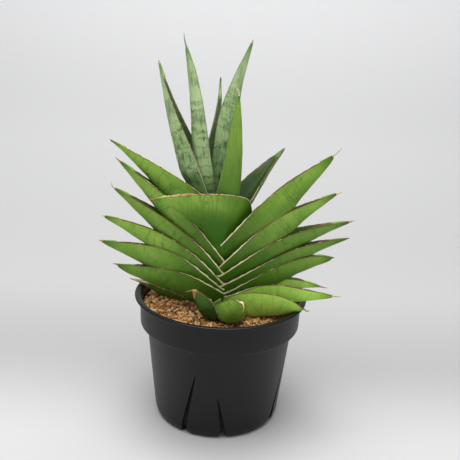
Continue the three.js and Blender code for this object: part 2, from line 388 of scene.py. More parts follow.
class Effects:
    """Shader node groups that more than one finish uses, each built once."""

    def __init__(self) -> None:
        """Starts with no group built."""
        self.built: dict[str, bpy.types.NodeTree] = {}

    def group(self, name: str, inputs: dict[str, object], outputs: dict[str, str],
              fill: Callable[[Shader, dict[str, Socket]], dict[str, Socket]]) -> bpy.types.NodeTree:
        """Gives a node group, and builds it the first time.

        Args:
            name: The group's name.
            inputs: Each input with its default, a number or "vector".
            outputs: Each output with its socket type.
            fill: Builds the nodes inside from the inputs and gives what each output shows.

        Returns:
            The group.
        """
        if name in self.built:
            return self.built[name]
        tree = bpy.data.node_groups.new(name, "ShaderNodeTree")
        for socket, default in inputs.items():
            kind = "NodeSocketVector" if default == "vector" else "NodeSocketFloat"
            made = tree.interface.new_socket(socket, in_out="INPUT", socket_type=kind)
            if default != "vector":
                made.default_value = default
        for socket, kind in outputs.items():
            tree.interface.new_socket(socket, in_out="OUTPUT", socket_type=kind)
        entry = tree.nodes.new("NodeGroupInput")
        leave = tree.nodes.new("NodeGroupOutput")
        shader = Shader(tree)
        shown = fill(shader, {socket: entry.outputs[socket] for socket in inputs})
        for socket, value in shown.items():
            tree.links.new(value, leave.inputs[socket])
        self.built[name] = tree
        return tree

    def use(self, shader: Shader, tree: bpy.types.NodeTree, **inputs: object) -> bpy.types.Node:
        """Places a group in a material.

        Args:
            shader: The material's tree.
            tree: The group.
            inputs: What its inputs hold, with _ for a space in a name.

        Returns:
            The group node.
        """
        made = shader.tree.nodes.new("ShaderNodeGroup")
        made.node_tree = tree
        for name, value in inputs.items():
            shader.feed(made.inputs[name.replace("_", " ")], value)
        return made

    def bands(self, shader: Shader, **inputs: object) -> Socket:
        """Places the cross bands: ragged lines and blots across a leaf, broken by streaks.

        Args:
            shader: The material's tree.
            inputs: Blade, Pitch, Zigzag, Lines, Blots and Streaks.

        Returns:
            The mask, 1 where the leaf is darkest.
        """
        defaults = {"Blade": "vector", "Pitch": 90.0, "Zigzag": 0.004, "Lines": 1.0, "Blots": 0.6,
                    "Streaks": 0.6}
        tree = self.group("cross_bands", defaults, {"Mask": "NodeSocketFloat"}, self.fill_bands)
        return self.use(shader, tree, **inputs).outputs["Mask"]

    @staticmethod
    def fill_bands(inner: Shader, given: dict[str, Socket]) -> dict[str, Socket]:
        """Builds the nodes of the cross bands.

        Args:
            inner: The group's tree.
            given: The group's inputs.

        Returns:
            What each output shows.
        """
        blade = given["Blade"]
        parts = inner.node("SeparateXYZ", {0: blade}).outputs
        fine = inner.streaks(blade, across=700.0, along=130.0, detail=3.0)
        wander = inner.math("MULTIPLY", inner.off_middle(fine), given["Zigzag"])
        run = inner.math("ADD", parts[1], wander)
        moved = inner.node("CombineXYZ", {0: parts[0], 1: run, 2: parts[2]}).outputs[0]
        level = inner.streaks(moved, across=26.0, along=given["Pitch"], detail=1.0, rough=0.4)
        off = inner.math("ABSOLUTE", inner.off_middle(level))
        lines = inner.math("MULTIPLY", inner.step(off, low=0.045, high=0.0), given["Lines"])
        patch = inner.streaks(moved, across=95.0, along=60.0, rough=0.6)
        blots = inner.math("MULTIPLY", inner.step(patch, low=0.46, high=0.68), given["Blots"])
        hair = inner.streaks(blade, across=1100.0, along=75.0, rough=0.6)
        broken = inner.math("MULTIPLY", inner.step(hair, low=0.62, high=0.4), given["Streaks"])
        kept = inner.math("SUBTRACT", 1.0, broken)
        both = inner.math("MAXIMUM", lines, blots)
        return {"Mask": inner.math("MULTIPLY", both, kept)}

    def fibres(self, shader: Shader, **inputs: object) -> Socket:
        """Places the fibres: fine grooves and pores that run along a leaf.

        Args:
            shader: The material's tree.
            inputs: Blade, Fineness and Pores.

        Returns:
            Their height, about 0.5.
        """
        defaults = {"Blade": "vector", "Fineness": 1500.0, "Pores": 0.5}
        tree = self.group("leaf_fibres", defaults, {"Height": "NodeSocketFloat"}, self.fill_fibres)
        return self.use(shader, tree, **inputs).outputs["Height"]

    @staticmethod
    def fill_fibres(inner: Shader, given: dict[str, Socket]) -> dict[str, Socket]:
        """Builds the nodes of the fibres.

        Args:
            inner: The group's tree.
            given: The group's inputs.

        Returns:
            What each output shows.
        """
        grooves = inner.streaks(given["Blade"], across=given["Fineness"], along=60.0, detail=3.0, rough=0.6)
        pores = inner.noise(inner.place(), scale=1400.0)
        share = inner.math("MULTIPLY", inner.off_middle(pores), given["Pores"])
        return {"Height": inner.math("ADD", grooves, share)}

    def clouds(self, shader: Shader, **inputs: object) -> Socket:
        """Places soft clouds: slow changes of tone over a surface.

        Args:
            shader: The material's tree.
            inputs: Size in metres, and Contrast.

        Returns:
            The mask, from 0 to 1.
        """
        defaults = {"Size": 0.02, "Contrast": 2.0}
        tree = self.group("soft_clouds", defaults, {"Mask": "NodeSocketFloat"}, self.fill_clouds)
        return self.use(shader, tree, **inputs).outputs["Mask"]

    @staticmethod
    def fill_clouds(inner: Shader, given: dict[str, Socket]) -> dict[str, Socket]:
        """Builds the nodes of the soft clouds.

        Args:
            inner: The group's tree.
            given: The group's inputs.

        Returns:
            What each output shows.
        """
        scale = inner.math("DIVIDE", 1.0, given["Size"])
        off = inner.off_middle(inner.noise(inner.place(), scale=scale, detail=3.0, rough=0.5))
        return {"Mask": inner.math("MULTIPLY_ADD", off, given["Contrast"], 0.5)}


EFFECTS = Effects()


class Finish:
    """What every finish is: a name, the constants on its shader's own sockets, and a method
    that paints what varies over the surface."""

    name: str
    constants: dict[str, float] = {}

    def material(self) -> bpy.types.Material:
        """Makes a material with this finish on one Principled shader.

        Returns:
            The material.
        """
        made = bpy.data.materials.new(self.name)
        made.use_nodes = True
        surface = made.node_tree.nodes["Principled BSDF"]
        for socket, value in self.constants.items():
            surface.inputs[socket].default_value = value
        self.paint(Shader(made.node_tree), surface)
        return made

    def paint(self, shader: Shader, surface: bpy.types.Node) -> None:
        """Adds what varies over the surface, in each finish in its own way."""
        raise NotImplementedError


@dataclass(frozen=True)
class Feel:
    """How rough a finish is where its mask is 0, how much more where it is 1, and how high its
    relief stands, in metres."""

    least: float
    spread: float
    relief: float = 0.0

    def give(self, shader: Shader, surface: bpy.types.Node, colour: Socket, mask: Socket,
             height: Socket | None = None) -> None:
        """Feeds the shader's colour, roughness and normal.

        Args:
            shader: The material's tree.
            surface: The Principled shader.
            colour: The colour.
            mask: Where the surface is rougher, from 0 to 1.
            height: The relief, from 0 to 1, or None for a flat surface.
        """
        shader.feed(surface.inputs["Base Color"], colour)
        shader.feed(surface.inputs["Roughness"], shader.math("MULTIPLY_ADD", mask, self.spread, self.least))
        if height is not None:
            made = shader.node("Bump", {"Height": height, "Distance": self.relief})
            shader.feed(surface.inputs["Normal"], made.outputs["Normal"])


@dataclass(frozen=True)
class LeafSkin(Finish):
    """The green skin of a leaf.

    light and middle mingle in soft clouds. deep is the green of painted shade: near the stem and
    below the margin towards the keel, as strongly as shade and under say, and where the leaf's own
    painted shade lies; it also shows in the grooves and at the tip, as strongly as grooves and tip
    say. channel is painted shade on the blade's inner face, as strongly as inside says, and
    rim is the line along the margin.
    band is the colour of the cross bands. lines, blots and streaks are the strengths of their
    lines, of their patches and of what breaks them, zigzag is how far the lines wander, in
    metres, and pitch how closely they follow each other, in waves a metre.
    """

    name: str
    light: Colour
    middle: Colour
    deep: Colour
    channel: Colour
    rim: Colour
    band: Colour
    lines: float
    blots: float
    zigzag: float
    pitch: float
    streaks: float
    shade: float = 0.85
    grooves: float = 0.2
    under: float = 0.6
    inside: float = 0.85
    tip: float = 0.8
    feel: Feel = Feel(0.36, 0.18, 0.00012)
    constants = {"Subsurface Weight": 0.04, "Subsurface Scale": 0.003, "Specular IOR Level": 0.26}

    def paint(self, shader: Shader, surface: bpy.types.Node) -> None:
        """Adds the colour, roughness and relief.

        Args:
            shader: The material's tree.
            surface: The Principled shader.
        """
        blade = shader.attribute("blade", "Vector")
        along = shader.attribute("along")
        side = shader.attribute("inside")
        rim = shader.attribute("rim")
        tone = EFFECTS.clouds(shader, Size=0.03, Contrast=2.2)
        body = shader.blend(tone, self.middle, self.light)
        # Painted shade: the green deepens towards the stem and, below the margin, towards the keel.
        painted_stem_shade = shader.math("MULTIPLY", shader.step(along, low=0.75, high=0.0), self.shade)
        keelward_shade = shader.math("MULTIPLY", shader.step(rim, low=0.002, high=0.018), self.under)
        # Painted shade: each leaf's own, and more below the bend of its flank.
        body = shader.blend(shader.attribute("dusk"), body, self.deep)
        body = shader.blend(shader.math("MAXIMUM", painted_stem_shade, keelward_shade), body, self.deep)
        mask = EFFECTS.bands(shader, Blade=blade, Pitch=self.pitch, Zigzag=self.zigzag,
                             Lines=self.lines, Blots=self.blots, Streaks=self.streaks)
        mask = shader.math("MULTIPLY", mask, shader.step(along, low=1.2, high=0.5))
        body = shader.blend(mask, body, self.band)
        # Painted shade on the blade's inner face.
        body = shader.blend(shader.math("MULTIPLY", side, self.inside), body, self.channel)
        fibres = EFFECTS.fibres(shader, Blade=blade, Fineness=1500.0, Pores=0.5)
        grooves = shader.math("MULTIPLY", shader.step(fibres, low=0.45, high=0.8), self.grooves)
        body = shader.blend(grooves, body, self.deep)
        tipward = shader.math("MULTIPLY", shader.step(along, low=0.88, high=1.0), self.tip)
        body = shader.blend(tipward, body, self.deep)
        body = shader.blend(shader.step(rim, low=0.0006, high=0.0001), body, self.rim)
        self.feel.give(shader, surface, body, fibres, fibres)


@dataclass(frozen=True)
class MarginPaper(Finish):
    """The papery edge of a leaf: a torn fringe of cream and tan, worn down to a brown line away
    from the stem. It is worn where its noise lies below bare, so more of it the higher bare is."""

    name: str
    cream: Colour
    tan: Colour
    brown: Colour
    bare: float
    feel: Feel = Feel(0.5, 0.3, 0.0002)

    def paint(self, shader: Shader, surface: bpy.types.Node) -> None:
        """Adds the colour, roughness and relief.

        Args:
            shader: The material's tree.
            surface: The Principled shader.
        """
        blade = shader.attribute("blade", "Vector")
        paper = shader.attribute("paper")
        along = shader.attribute("along")
        wear = shader.streaks(blade, across=300.0, along=160.0, detail=3.0, rough=0.6)
        pale = shader.blend(shader.step(wear, low=0.5, high=0.72), self.cream, self.tan)
        outward = shader.step(along, low=0.1, high=0.45)
        worn = shader.math("MULTIPLY", outward, shader.step(wear, low=self.bare, high=self.bare - 0.1))
        left = shader.math("SUBTRACT", paper, worn)
        colour = shader.blend(shader.step(left, low=0.0, high=0.1), self.brown, pale)
        fibres = EFFECTS.fibres(shader, Blade=blade, Fineness=900.0, Pores=1.0)
        self.feel.give(shader, surface, colour, wear, fibres)


@dataclass(frozen=True)
class DryMatter(Finish):
    """The dry spine or the withered tip of a leaf."""

    name: str
    light: Colour
    dark: Colour
    feel: Feel = Feel(0.5, 0.3, 0.0003)

    def paint(self, shader: Shader, surface: bpy.types.Node) -> None:
        """Adds the colour, roughness and relief.

        Args:
            shader: The material's tree.
            surface: The Principled shader.
        """
        blade = shader.attribute("blade", "Vector")
        grain = EFFECTS.fibres(shader, Blade=blade, Fineness=1100.0, Pores=1.2)
        colour = shader.blend(shader.step(grain, low=0.3, high=0.7), self.dark, self.light)
        self.feel.give(shader, surface, colour, grain, grain)


@dataclass(frozen=True)
class ShadeGreenStem(Finish):
    """The stem's skin, a deep green that is painted shade: it stands for the shaded leaf bases round the
    stem.
    """

    name: str = "stem_shade_green"
    dark: Colour = (0.02, 0.065, 0.006)
    light: Colour = (0.04, 0.11, 0.012)
    feel: Feel = Feel(0.55, 0.2, 0.0005)

    def paint(self, shader: Shader, surface: bpy.types.Node) -> None:
        """Adds the colour, roughness and relief.

        Args:
            shader: The material's tree.
            surface: The Principled shader.
        """
        tone = EFFECTS.clouds(shader, Size=0.006, Contrast=2.0)
        self.feel.give(shader, surface, shader.blend(tone, self.dark, self.light), tone, tone)


@dataclass(frozen=True)
class BlackPlastic(Finish):
    """The pot's moulded plastic: black with a slight haze, faintly worn along its rings."""

    name: str = "black_plastic"
    black: Colour = (0.002, 0.002, 0.002)
    haze: Colour = (0.0035, 0.0035, 0.0035)
    worn: Colour = (0.03, 0.03, 0.029)
    wear: float = 0.4
    feel: Feel = Feel(0.42, 0.2, 0.00004)
    constants = {"Specular IOR Level": 0.33}

    def paint(self, shader: Shader, surface: bpy.types.Node) -> None:
        """Adds the colour, roughness and relief.

        Args:
            shader: The material's tree.
            surface: The Principled shader.
        """
        haze = EFFECTS.clouds(shader, Size=0.03, Contrast=2.0)
        scuffs = shader.streaks(shader.place(), across=60.0, along=60.0, depth=190.0, detail=4.0, rough=0.7)
        worn = shader.math("MULTIPLY", shader.step(scuffs, low=0.58, high=0.75), haze)
        colour = shader.blend(haze, self.black, self.haze)
        colour = shader.blend(shader.math("MULTIPLY", worn, self.wear), colour, self.worn)
        grain = shader.noise(shader.place(), scale=2600.0)
        self.feel.give(shader, surface, colour, worn, grain)


@dataclass(frozen=True)
class DryGranules(Finish):
    """Loose stones: each has its tint, from brown over tan and straw to pale, under fine dust."""

    name: str
    brown: Colour = (0.13, 0.050, 0.012)
    tan: Colour = (0.46, 0.205, 0.062)
    straw: Colour = (0.72, 0.42, 0.16)
    pale: Colour = (0.72, 0.58, 0.38)
    dust: Colour = (0.22, 0.12, 0.05)
    dustiness: float = 0.35
    feel: Feel = Feel(0.75, 0.2, 0.0003)

    def paint(self, shader: Shader, surface: bpy.types.Node) -> None:
        """Adds the colour, roughness and relief.

        Args:
            shader: The material's tree.
            surface: The Principled shader.
        """
        tint = shader.attribute("tint")
        colour = shader.blend(shader.step(tint, low=0.0, high=0.35), self.brown, self.tan)
        colour = shader.blend(shader.step(tint, low=0.4, high=0.8), colour, self.straw)
        colour = shader.blend(shader.step(tint, low=0.88, high=1.0), colour, self.pale)
        dust = EFFECTS.clouds(shader, Size=0.0012, Contrast=2.0)
        colour = shader.blend(shader.math("MULTIPLY", dust, self.dustiness), colour, self.dust)
        self.feel.give(shader, surface, colour, dust, dust)


@dataclass(frozen=True)
class DarkSoil(Finish):
    """The bed between the stones. Deeper in the pot, below a band of heights in metres, it turns
    nearly black: painted shade inside the pot."""

    name: str = "dark_soil"
    dark: Colour = (0.03, 0.015, 0.007)
    light: Colour = (0.12, 0.06, 0.025)
    damp: Colour = (0.004, 0.003, 0.002)
    damp_heights: tuple[float, float] = (0.09, 0.075)
    feel: Feel = Feel(0.85, 0.1, 0.002)

    def paint(self, shader: Shader, surface: bpy.types.Node) -> None:
        """Adds the colour, roughness and relief.

        Args:
            shader: The material's tree.
            surface: The Principled shader.
        """
        tone = EFFECTS.clouds(shader, Size=0.003, Contrast=2.5)
        colour = shader.blend(tone, self.dark, self.light)
        height = shader.node("SeparateXYZ", {0: shader.place()}).outputs["Z"]
        # Painted shade: nearly black deep inside the pot.
        colour = shader.blend(shader.step(height, *self.damp_heights), colour, self.damp)
        self.feel.give(shader, surface, colour, tone, tone)


@dataclass(frozen=True)
class PaleFloor(Finish):
    """The floor's matt tone, which changes with the distance from the front to the back: darker round
    the pot, as painted shade, and lighter further back, as painted light. Each zone has the
    distances between which it sets in, counted from the pot's middle along the floor and up its
    bend, in metres, and its colour."""

    name: str = "pale_floor"
    dark: Colour = (0.61, 0.61, 0.605)
    light: Colour = (0.63, 0.63, 0.625)
    zones: tuple[tuple[float, float, Colour], ...] = (
        (-0.07, 0.1, (0.45, 0.45, 0.445)),
        (0.1, 0.3, (0.53, 0.53, 0.525)),
        (0.35, 1.3, (0.66, 0.66, 0.66)),
        (1.3, 2.6, (0.84, 0.84, 0.845)),
    )
    feel: Feel = Feel(0.7, 0.05)
    constants = {"Specular IOR Level": 0.2}

    def paint(self, shader: Shader, surface: bpy.types.Node) -> None:
        """Adds the colour and roughness.

        Args:
            shader: The material's tree.
            surface: The Principled shader.
        """
        parts = shader.node("SeparateXYZ", {0: shader.place()}).outputs
        away = shader.math("ADD", parts[1], parts[2])
        tone = EFFECTS.clouds(shader, Size=1.5, Contrast=0.3)
        colour = shader.blend(tone, self.dark, self.light)
        # Painted shade round the pot and painted light further back.
        for near, far, shown in self.zones:
            colour = shader.blend(shader.step(away, low=near, high=far), colour, shown)
        self.feel.give(shader, surface, colour, tone)


FAN_SKIN = LeafSkin("fan_skin", light=(0.39, 0.62, 0.105), middle=(0.255, 0.48, 0.047),
                    deep=(0.04, 0.14, 0.002), channel=(0.03, 0.09, 0.008), rim=(0.14, 0.10, 0.03),
                    band=(0.05, 0.18, 0.012), lines=0.7, blots=0.35, zigzag=0.003, pitch=150.0,
                    streaks=0.5)
YOUNG_SKIN = LeafSkin("young_skin", light=(0.30, 0.47, 0.07), middle=(0.20, 0.36, 0.045),
                      deep=(0.06, 0.18, 0.015), channel=(0.05, 0.14, 0.015), rim=(0.20, 0.32, 0.08),
                      band=(0.10, 0.25, 0.03), lines=0.25, blots=0.5, zigzag=0.003, pitch=60.0,
                      streaks=0.8, shade=1.0, grooves=0.8, under=0.3)
# A darker copy of the fan's skin: painted shade for leaves that stand in the shade of others.
SHADE_PAINTED_SKIN = LeafSkin("shade_painted_skin", light=(0.13, 0.28, 0.035), middle=(0.08, 0.20, 0.02),
                      deep=(0.012, 0.045, 0.005), channel=(0.015, 0.04, 0.002), rim=(0.14, 0.07, 0.03),
                      band=(0.05, 0.15, 0.015), lines=0.2, blots=0.1, zigzag=0.003, pitch=110.0,
                      streaks=0.5, shade=1.0)
# A brighter copy of the fan's skin with less painted shade: partly the fresher green of young leaves, partly
# painted light on leaves that face up to the lamp.
FRESH_LIT_SKIN = LeafSkin("fresh_lit_skin", light=(0.54, 0.84, 0.14), middle=(0.43, 0.72, 0.10),
                      deep=(0.10, 0.28, 0.015), channel=(0.03, 0.09, 0.008), rim=(0.14, 0.10, 0.03),
                      band=(0.12, 0.33, 0.03), lines=0.5, blots=0.2, zigzag=0.002, pitch=170.0,
                      streaks=0.5, shade=0.3, under=0.3)
CROWN_SKIN = LeafSkin("crown_skin", light=(0.62, 0.78, 0.42), middle=(0.44, 0.63, 0.26),
                      deep=(0.10, 0.25, 0.045), channel=(0.008, 0.022, 0.005), rim=(0.24, 0.30, 0.10),
                      band=(0.035, 0.12, 0.035), lines=1.0, blots=1.0, zigzag=0.008, pitch=115.0,
                      streaks=0.6, shade=0.6, grooves=0.5, under=0.25)
SKINS = {
    Skin.FAN: FAN_SKIN,
    Skin.CROWN: CROWN_SKIN,
    Skin.YOUNG: YOUNG_SKIN,
    Skin.SHADY: SHADE_PAINTED_SKIN,
    Skin.FRESH: FRESH_LIT_SKIN,
}
MARGINS = {
    Edge.BROWN: MarginPaper("brown_margin", cream=(0.95, 0.89, 0.54), tan=(0.70, 0.56, 0.32),
                            brown=(0.19, 0.085, 0.035), bare=0.66),
    Edge.FRAYED: MarginPaper("frayed_margin", cream=(0.95, 0.80, 0.44), tan=(0.72, 0.38, 0.14),
                             brown=(0.42, 0.17, 0.07), bare=0.52),
    Edge.SHEER: MarginPaper("sheer_margin", cream=(0.34, 0.40, 0.18), tan=(0.24, 0.27, 0.10),
                            brown=(0.16, 0.17, 0.06), bare=0.66),
}
DRY_MATTER = {
    Dry.DARK: DryMatter("dry_dark", (0.30, 0.17, 0.08), (0.06, 0.03, 0.015)),
    Dry.CREAM: DryMatter("dry_cream", (0.92, 0.80, 0.54), (0.62, 0.42, 0.20)),
    Dry.RUSTY: DryMatter("dry_rusty", (0.66, 0.36, 0.18), (0.26, 0.10, 0.04)),
    Dry.STRAW: DryMatter("dry_straw", (0.62, 0.49, 0.30), (0.26, 0.17, 0.09)),
    Dry.MOSS: DryMatter("dry_moss", (0.30, 0.38, 0.18), (0.16, 0.17, 0.08)),
}


@dataclass(frozen=True)
class Spine:
    """The dry point of a leaf: its kind, its length in millimetres, by how many degrees it
    curls up over that length, and the share of the blade that is withered."""

    kind: Dry = Dry.DARK
    length: float = 2.5
    lift: float = 0.0
    withered: float = 0.0


@dataclass(frozen=True)
class LeafShape:
    """The course and girth of one leaf, in millimetres and degrees.

    turn is its compass direction about centre, from +X. Its margins start at the radius start
    and the height root, rise at the angle leave, and reach the tip at the radius reach and the
    height tip, at the angle arrive. half is its half width and keel its depth at the stem.
    bend is how long the handles of its curve are, as a share of its length. roll turns the
    blade about the margin that faces the front, and roll_at_root its base. A neck is the
    share of its girth that is left at the stem. A stern is the share of its length over which
    a base without a stem is rounded, and droop how far that hangs down. slimming and
    keel_slimming are how soon the half width and the depth shrink, the depth without a belly
    where keel_even is set. wrap is how far its base passes on round the stem, falling by
    wrap_fall for each millimetre. lip and lip_at_root are how high its papery fringe stands.
    dusk is painted shade that deepens its whole green, as a share, and crease how much
    more painted shade lies below the bend of its flank.
    """

    name: str
    turn: float
    root: float
    reach: float
    tip: float
    leave: float
    arrive: float
    half: float
    keel: float
    bend: float = 0.36
    roll: float = 0.0
    start: float = 0.15
    centre: tuple[float, float] = (0.0, 0.0)
    neck: float = 0.0
    stern: float = 0.0
    slimming: float = 1.05
    keel_slimming: float = 1.15
    keel_even: bool = False
    roll_at_root: float = 0.0
    droop: float = 0.0
    wrap: float = 0.0
    wrap_fall: float = 0.9
    lip: float = 0.45
    lip_at_root: float = 2.1
    dusk: float = 0.0
    crease: float = 0.0
    edge: Edge = Edge.BROWN
    spine: Spine = Spine()


def fan_leaf(name: str, turn: float, root: float, reach: float, tip: float, leave: float, arrive: float,
             half: float, keel: float, bend: float, roll: float, forward: float,
             **more: object) -> LeafShape:
    """Gives the shape of a leaf of the fan, which stands forward and wraps the stem a little."""
    settings = {"wrap": 6.0, "centre": (0.0, -forward), **more}
    return LeafShape(name, turn, root, reach, tip, leave, arrive, half, keel, bend, roll, **settings)


def crown_leaf(name: str, turn: float, root: float, reach: float, tip: float, leave: float, arrive: float,
               half: float, keel: float, bend: float, forward: float, **more: object) -> LeafShape:
    """Gives the shape of an upright leaf of the crown."""
    settings = {"centre": (CROWN_AXIS, -forward), "lip": 0.2, "lip_at_root": 0.3, "edge": Edge.SHEER, **more}
    return LeafShape(name, turn, root, reach, tip, leave, arrive, half, keel, bend, **settings)


CROWN_LEAVES = (
    crown_leaf("crown_leaf_3", 80, 186.2, 12.4, 293.6, 129, 82, 12.7, 8.1, 0.44, -17, start=-6, neck=0.3,
               slimming=1.17),
    crown_leaf("crown_leaf_2", 200, 191.7, 26.5, 321.7, 76, 66, 10.6, 5, 0.28, -4.8, start=-1.6, neck=0.6,
               roll=42.5, roll_at_root=42.5, slimming=0.66, keel_slimming=1.08,
               spine=Spine(Dry.MOSS, 11.0, lift=18)),
    crown_leaf("crown_leaf_4", -30, 189.2, 30.6, 328.4, 85, 62, 9.1, 20.8, 0.54, -10.5, start=0, neck=0.85,
               slimming=1.08, keel_slimming=0.88, spine=Spine(Dry.CREAM, 1.5, lift=20)),
    crown_leaf("crown_leaf_1", 170, 192.7, 48.7, 308.1, 75.5, 71.5, 15.2, 19.2, 0.45, -1, start=0.1,
               neck=0.6, roll=2.9, slimming=0.81, keel_slimming=1.26, edge=Edge.BROWN,
               spine=Spine(Dry.CREAM, 1.5)),
    crown_leaf("crown_leaf_5", -30, 189, 19.9, 285.8, 64.5, 84, 15.1, 13.3, 0.21, -3.6, start=5.8,
               neck=0.8, slimming=0.91, spine=Spine(Dry.CREAM, 6.0, lift=50)),
)
BOWL_LEAVES = (
    LeafShape("back_leaf", 42, 181.1, 75, 232.5, 43, 32, 18.4, 11.6, bend=0.43, roll=2.8, start=8.9,
              centre=(-5.1, 5.7), neck=0.4, slimming=0.88, keel_slimming=0.84,
              spine=Spine(Dry.RUSTY, 1.5)),
    LeafShape("front_leaf", 222, 194.6, 67.4, 208.4, 34, -0.1, 24.6, 79, bend=0.29, roll=12, start=-27,
              centre=(-5.0, -2.5), stern=0.2, droop=21.1, slimming=1.23, keel_slimming=1.36, crease=1.0,
              keel_even=True, lip=0.6, lip_at_root=0.5, edge=Edge.FRAYED,
              spine=Spine(Dry.RUSTY, 6.0, lift=25)),
)
LEFT_LEAVES = (
    fan_leaf("left_leaf_1", 190, 178.2, 95.5, 245.3, 62, 28, 18.1, 26.3, 0.28, 15.7, -8.6, slimming=1.08,
             keel_slimming=1.58, wrap=8.0, wrap_fall=1.2, edge=Edge.FRAYED, spine=Spine(Dry.DARK, 1.5)),
    fan_leaf("left_leaf_2", 186, 148.2, 87.6, 229, 51, 34, 16.3, 21.1, 0.46, 0, 1.9, slimming=0.91,
             keel_slimming=0.92, dusk=0.1, spine=Spine(Dry.RUSTY, 5.0, lift=15)),
    fan_leaf("left_leaf_3", 184, 137.4, 92, 206.3, 51.7, 28, 15, 21.8, 0.40, 1.2, 3.8, slimming=0.86,
             keel_slimming=1.0, dusk=0.25, spine=Spine(Dry.CREAM, 6.0, lift=75)),
    fan_leaf("left_leaf_4", 182, 129.8, 101.1, 181, 45.7, 9, 15.9, 20.5, 0.43, 15.7, 4.8, slimming=1.07,
             keel_slimming=0.85, dusk=0.1, spine=Spine(Dry.CREAM, 2.0)),
    fan_leaf("left_leaf_5", 181, 125.3, 103.1, 159, 38, 2, 15.8, 30.4, 0.55, 13.4, 6.7, slimming=0.96,
             keel_slimming=0.86, dusk=0.3, spine=Spine(Dry.RUSTY, 2.5)),
    fan_leaf("left_leaf_6", 184, 125.1, 89.2, 140.3, 26.7, 4.6, 24.6, 24.2, 0.48, 0, 8,
             slimming=1.6, keel_slimming=0.69, dusk=0.46, spine=Spine(Dry.RUSTY, 3.5)),
    fan_leaf("left_leaf_7", 176, 97, 81, 117, 16, 7, 13, 13, 0.36, 0, -6,
             dusk=0.6, spine=Spine(Dry.STRAW, 1.5, withered=0.19)),
)
RIGHT_LEAVES = (
    fan_leaf("right_leaf_1", -8, 161.5, 87.2, 242.6, 50, 34, 16.5, 25, 0.52, 6.5, 1, start=1.0,
             slimming=1.07, keel_slimming=0.68, wrap=8.0, wrap_fall=-0.1,
             dusk=0.1, spine=Spine(Dry.CREAM, 9.0, lift=25)),
    fan_leaf("right_leaf_2", -4, 143.9, 93, 209.9, 46, 22.5, 16, 23.7, 0.52, 6, 2.9, slimming=0.9,
             keel_slimming=0.88, dusk=0.15, spine=Spine(Dry.CREAM, 5.0, lift=-15)),
    fan_leaf("right_leaf_3", 0, 136.5, 106.7, 184.3, 35.4, 10, 17.7, 21.3, 0.48, 0, 3.8, lip=0.6,
             slimming=1.0, keel_slimming=0.89, dusk=0.45, spine=Spine(Dry.RUSTY, 4.0, lift=10)),
    fan_leaf("right_leaf_4", 2, 127.1, 105.6, 168.5, 26.7, 8.2, 16.1, 20.9, 0.53, 0, 5.7, slimming=1.09,
             keel_slimming=0.88, dusk=0.5, spine=Spine(Dry.DARK, 2.5)),
    fan_leaf("right_leaf_5", 4, 119.6, 95.2, 150, 23.4, -13, 16.8, 17.5, 0.36, 4.8, 6.7, slimming=1.11,
             keel_slimming=0.55, dusk=0.35, spine=Spine(Dry.DARK, 2.0)),
    fan_leaf("right_leaf_6", 6, 115.9, 87.5, 121.7, 15.5, -22, 11.9, 21.7, 0.49, 8.5, 5.7, slimming=0.94,
             keel_slimming=0.92, spine=Spine(Dry.RUSTY, 7.0, lift=15)),
    fan_leaf("right_leaf_7", -12, 109.6, 96.8, 125.9, 38, -8, 15, 21.5, 0.49, 19.1, 7.6, slimming=1.1,
             keel_slimming=0.8, dusk=0.12, spine=Spine(Dry.CREAM, 7.0, lift=20)),
    fan_leaf("right_leaf_8", -17.6, 112.4, 75, 114, 51, -66, 20.5, 17, 0.32, 31.3, 8.6, slimming=0.45,
             keel_slimming=0.3, spine=Spine(Dry.RUSTY, 5.0, lift=120)),
)
SHOOT_LEAVES = (
    LeafShape("front_shoot_1", 193, 113, 25.3, 130.6, 98, -5, 11, 11.5, bend=0.32, roll=10, start=6,
              centre=(1.0, -36.0), slimming=0.91, keel_slimming=0.54, lip=0.3, lip_at_root=2.2,
              dusk=0.3, spine=Spine(Dry.RUSTY, 5.0, lift=-20, withered=0.14)),
    LeafShape("front_shoot_2", -62, 116.1, 35, 128.3, -20, -48, 19, 10, bend=0.38, roll=32, start=-4,
              centre=(3.0, -30.0), slimming=0.81, keel_slimming=1.45, lip=0.15, lip_at_root=2.2,
              dusk=0.05, spine=Spine(Dry.CREAM, 7.5, lift=-100, withered=0.1)),
)


@dataclass
class Stations:
    """The places along a leaf at which its section is built, one array entry each."""

    share: np.ndarray
    run: np.ndarray
    centre: np.ndarray
    up: np.ndarray
    width: np.ndarray
    depth: np.ndarray
    cone: np.ndarray
    lip: np.ndarray
    sideways: np.ndarray


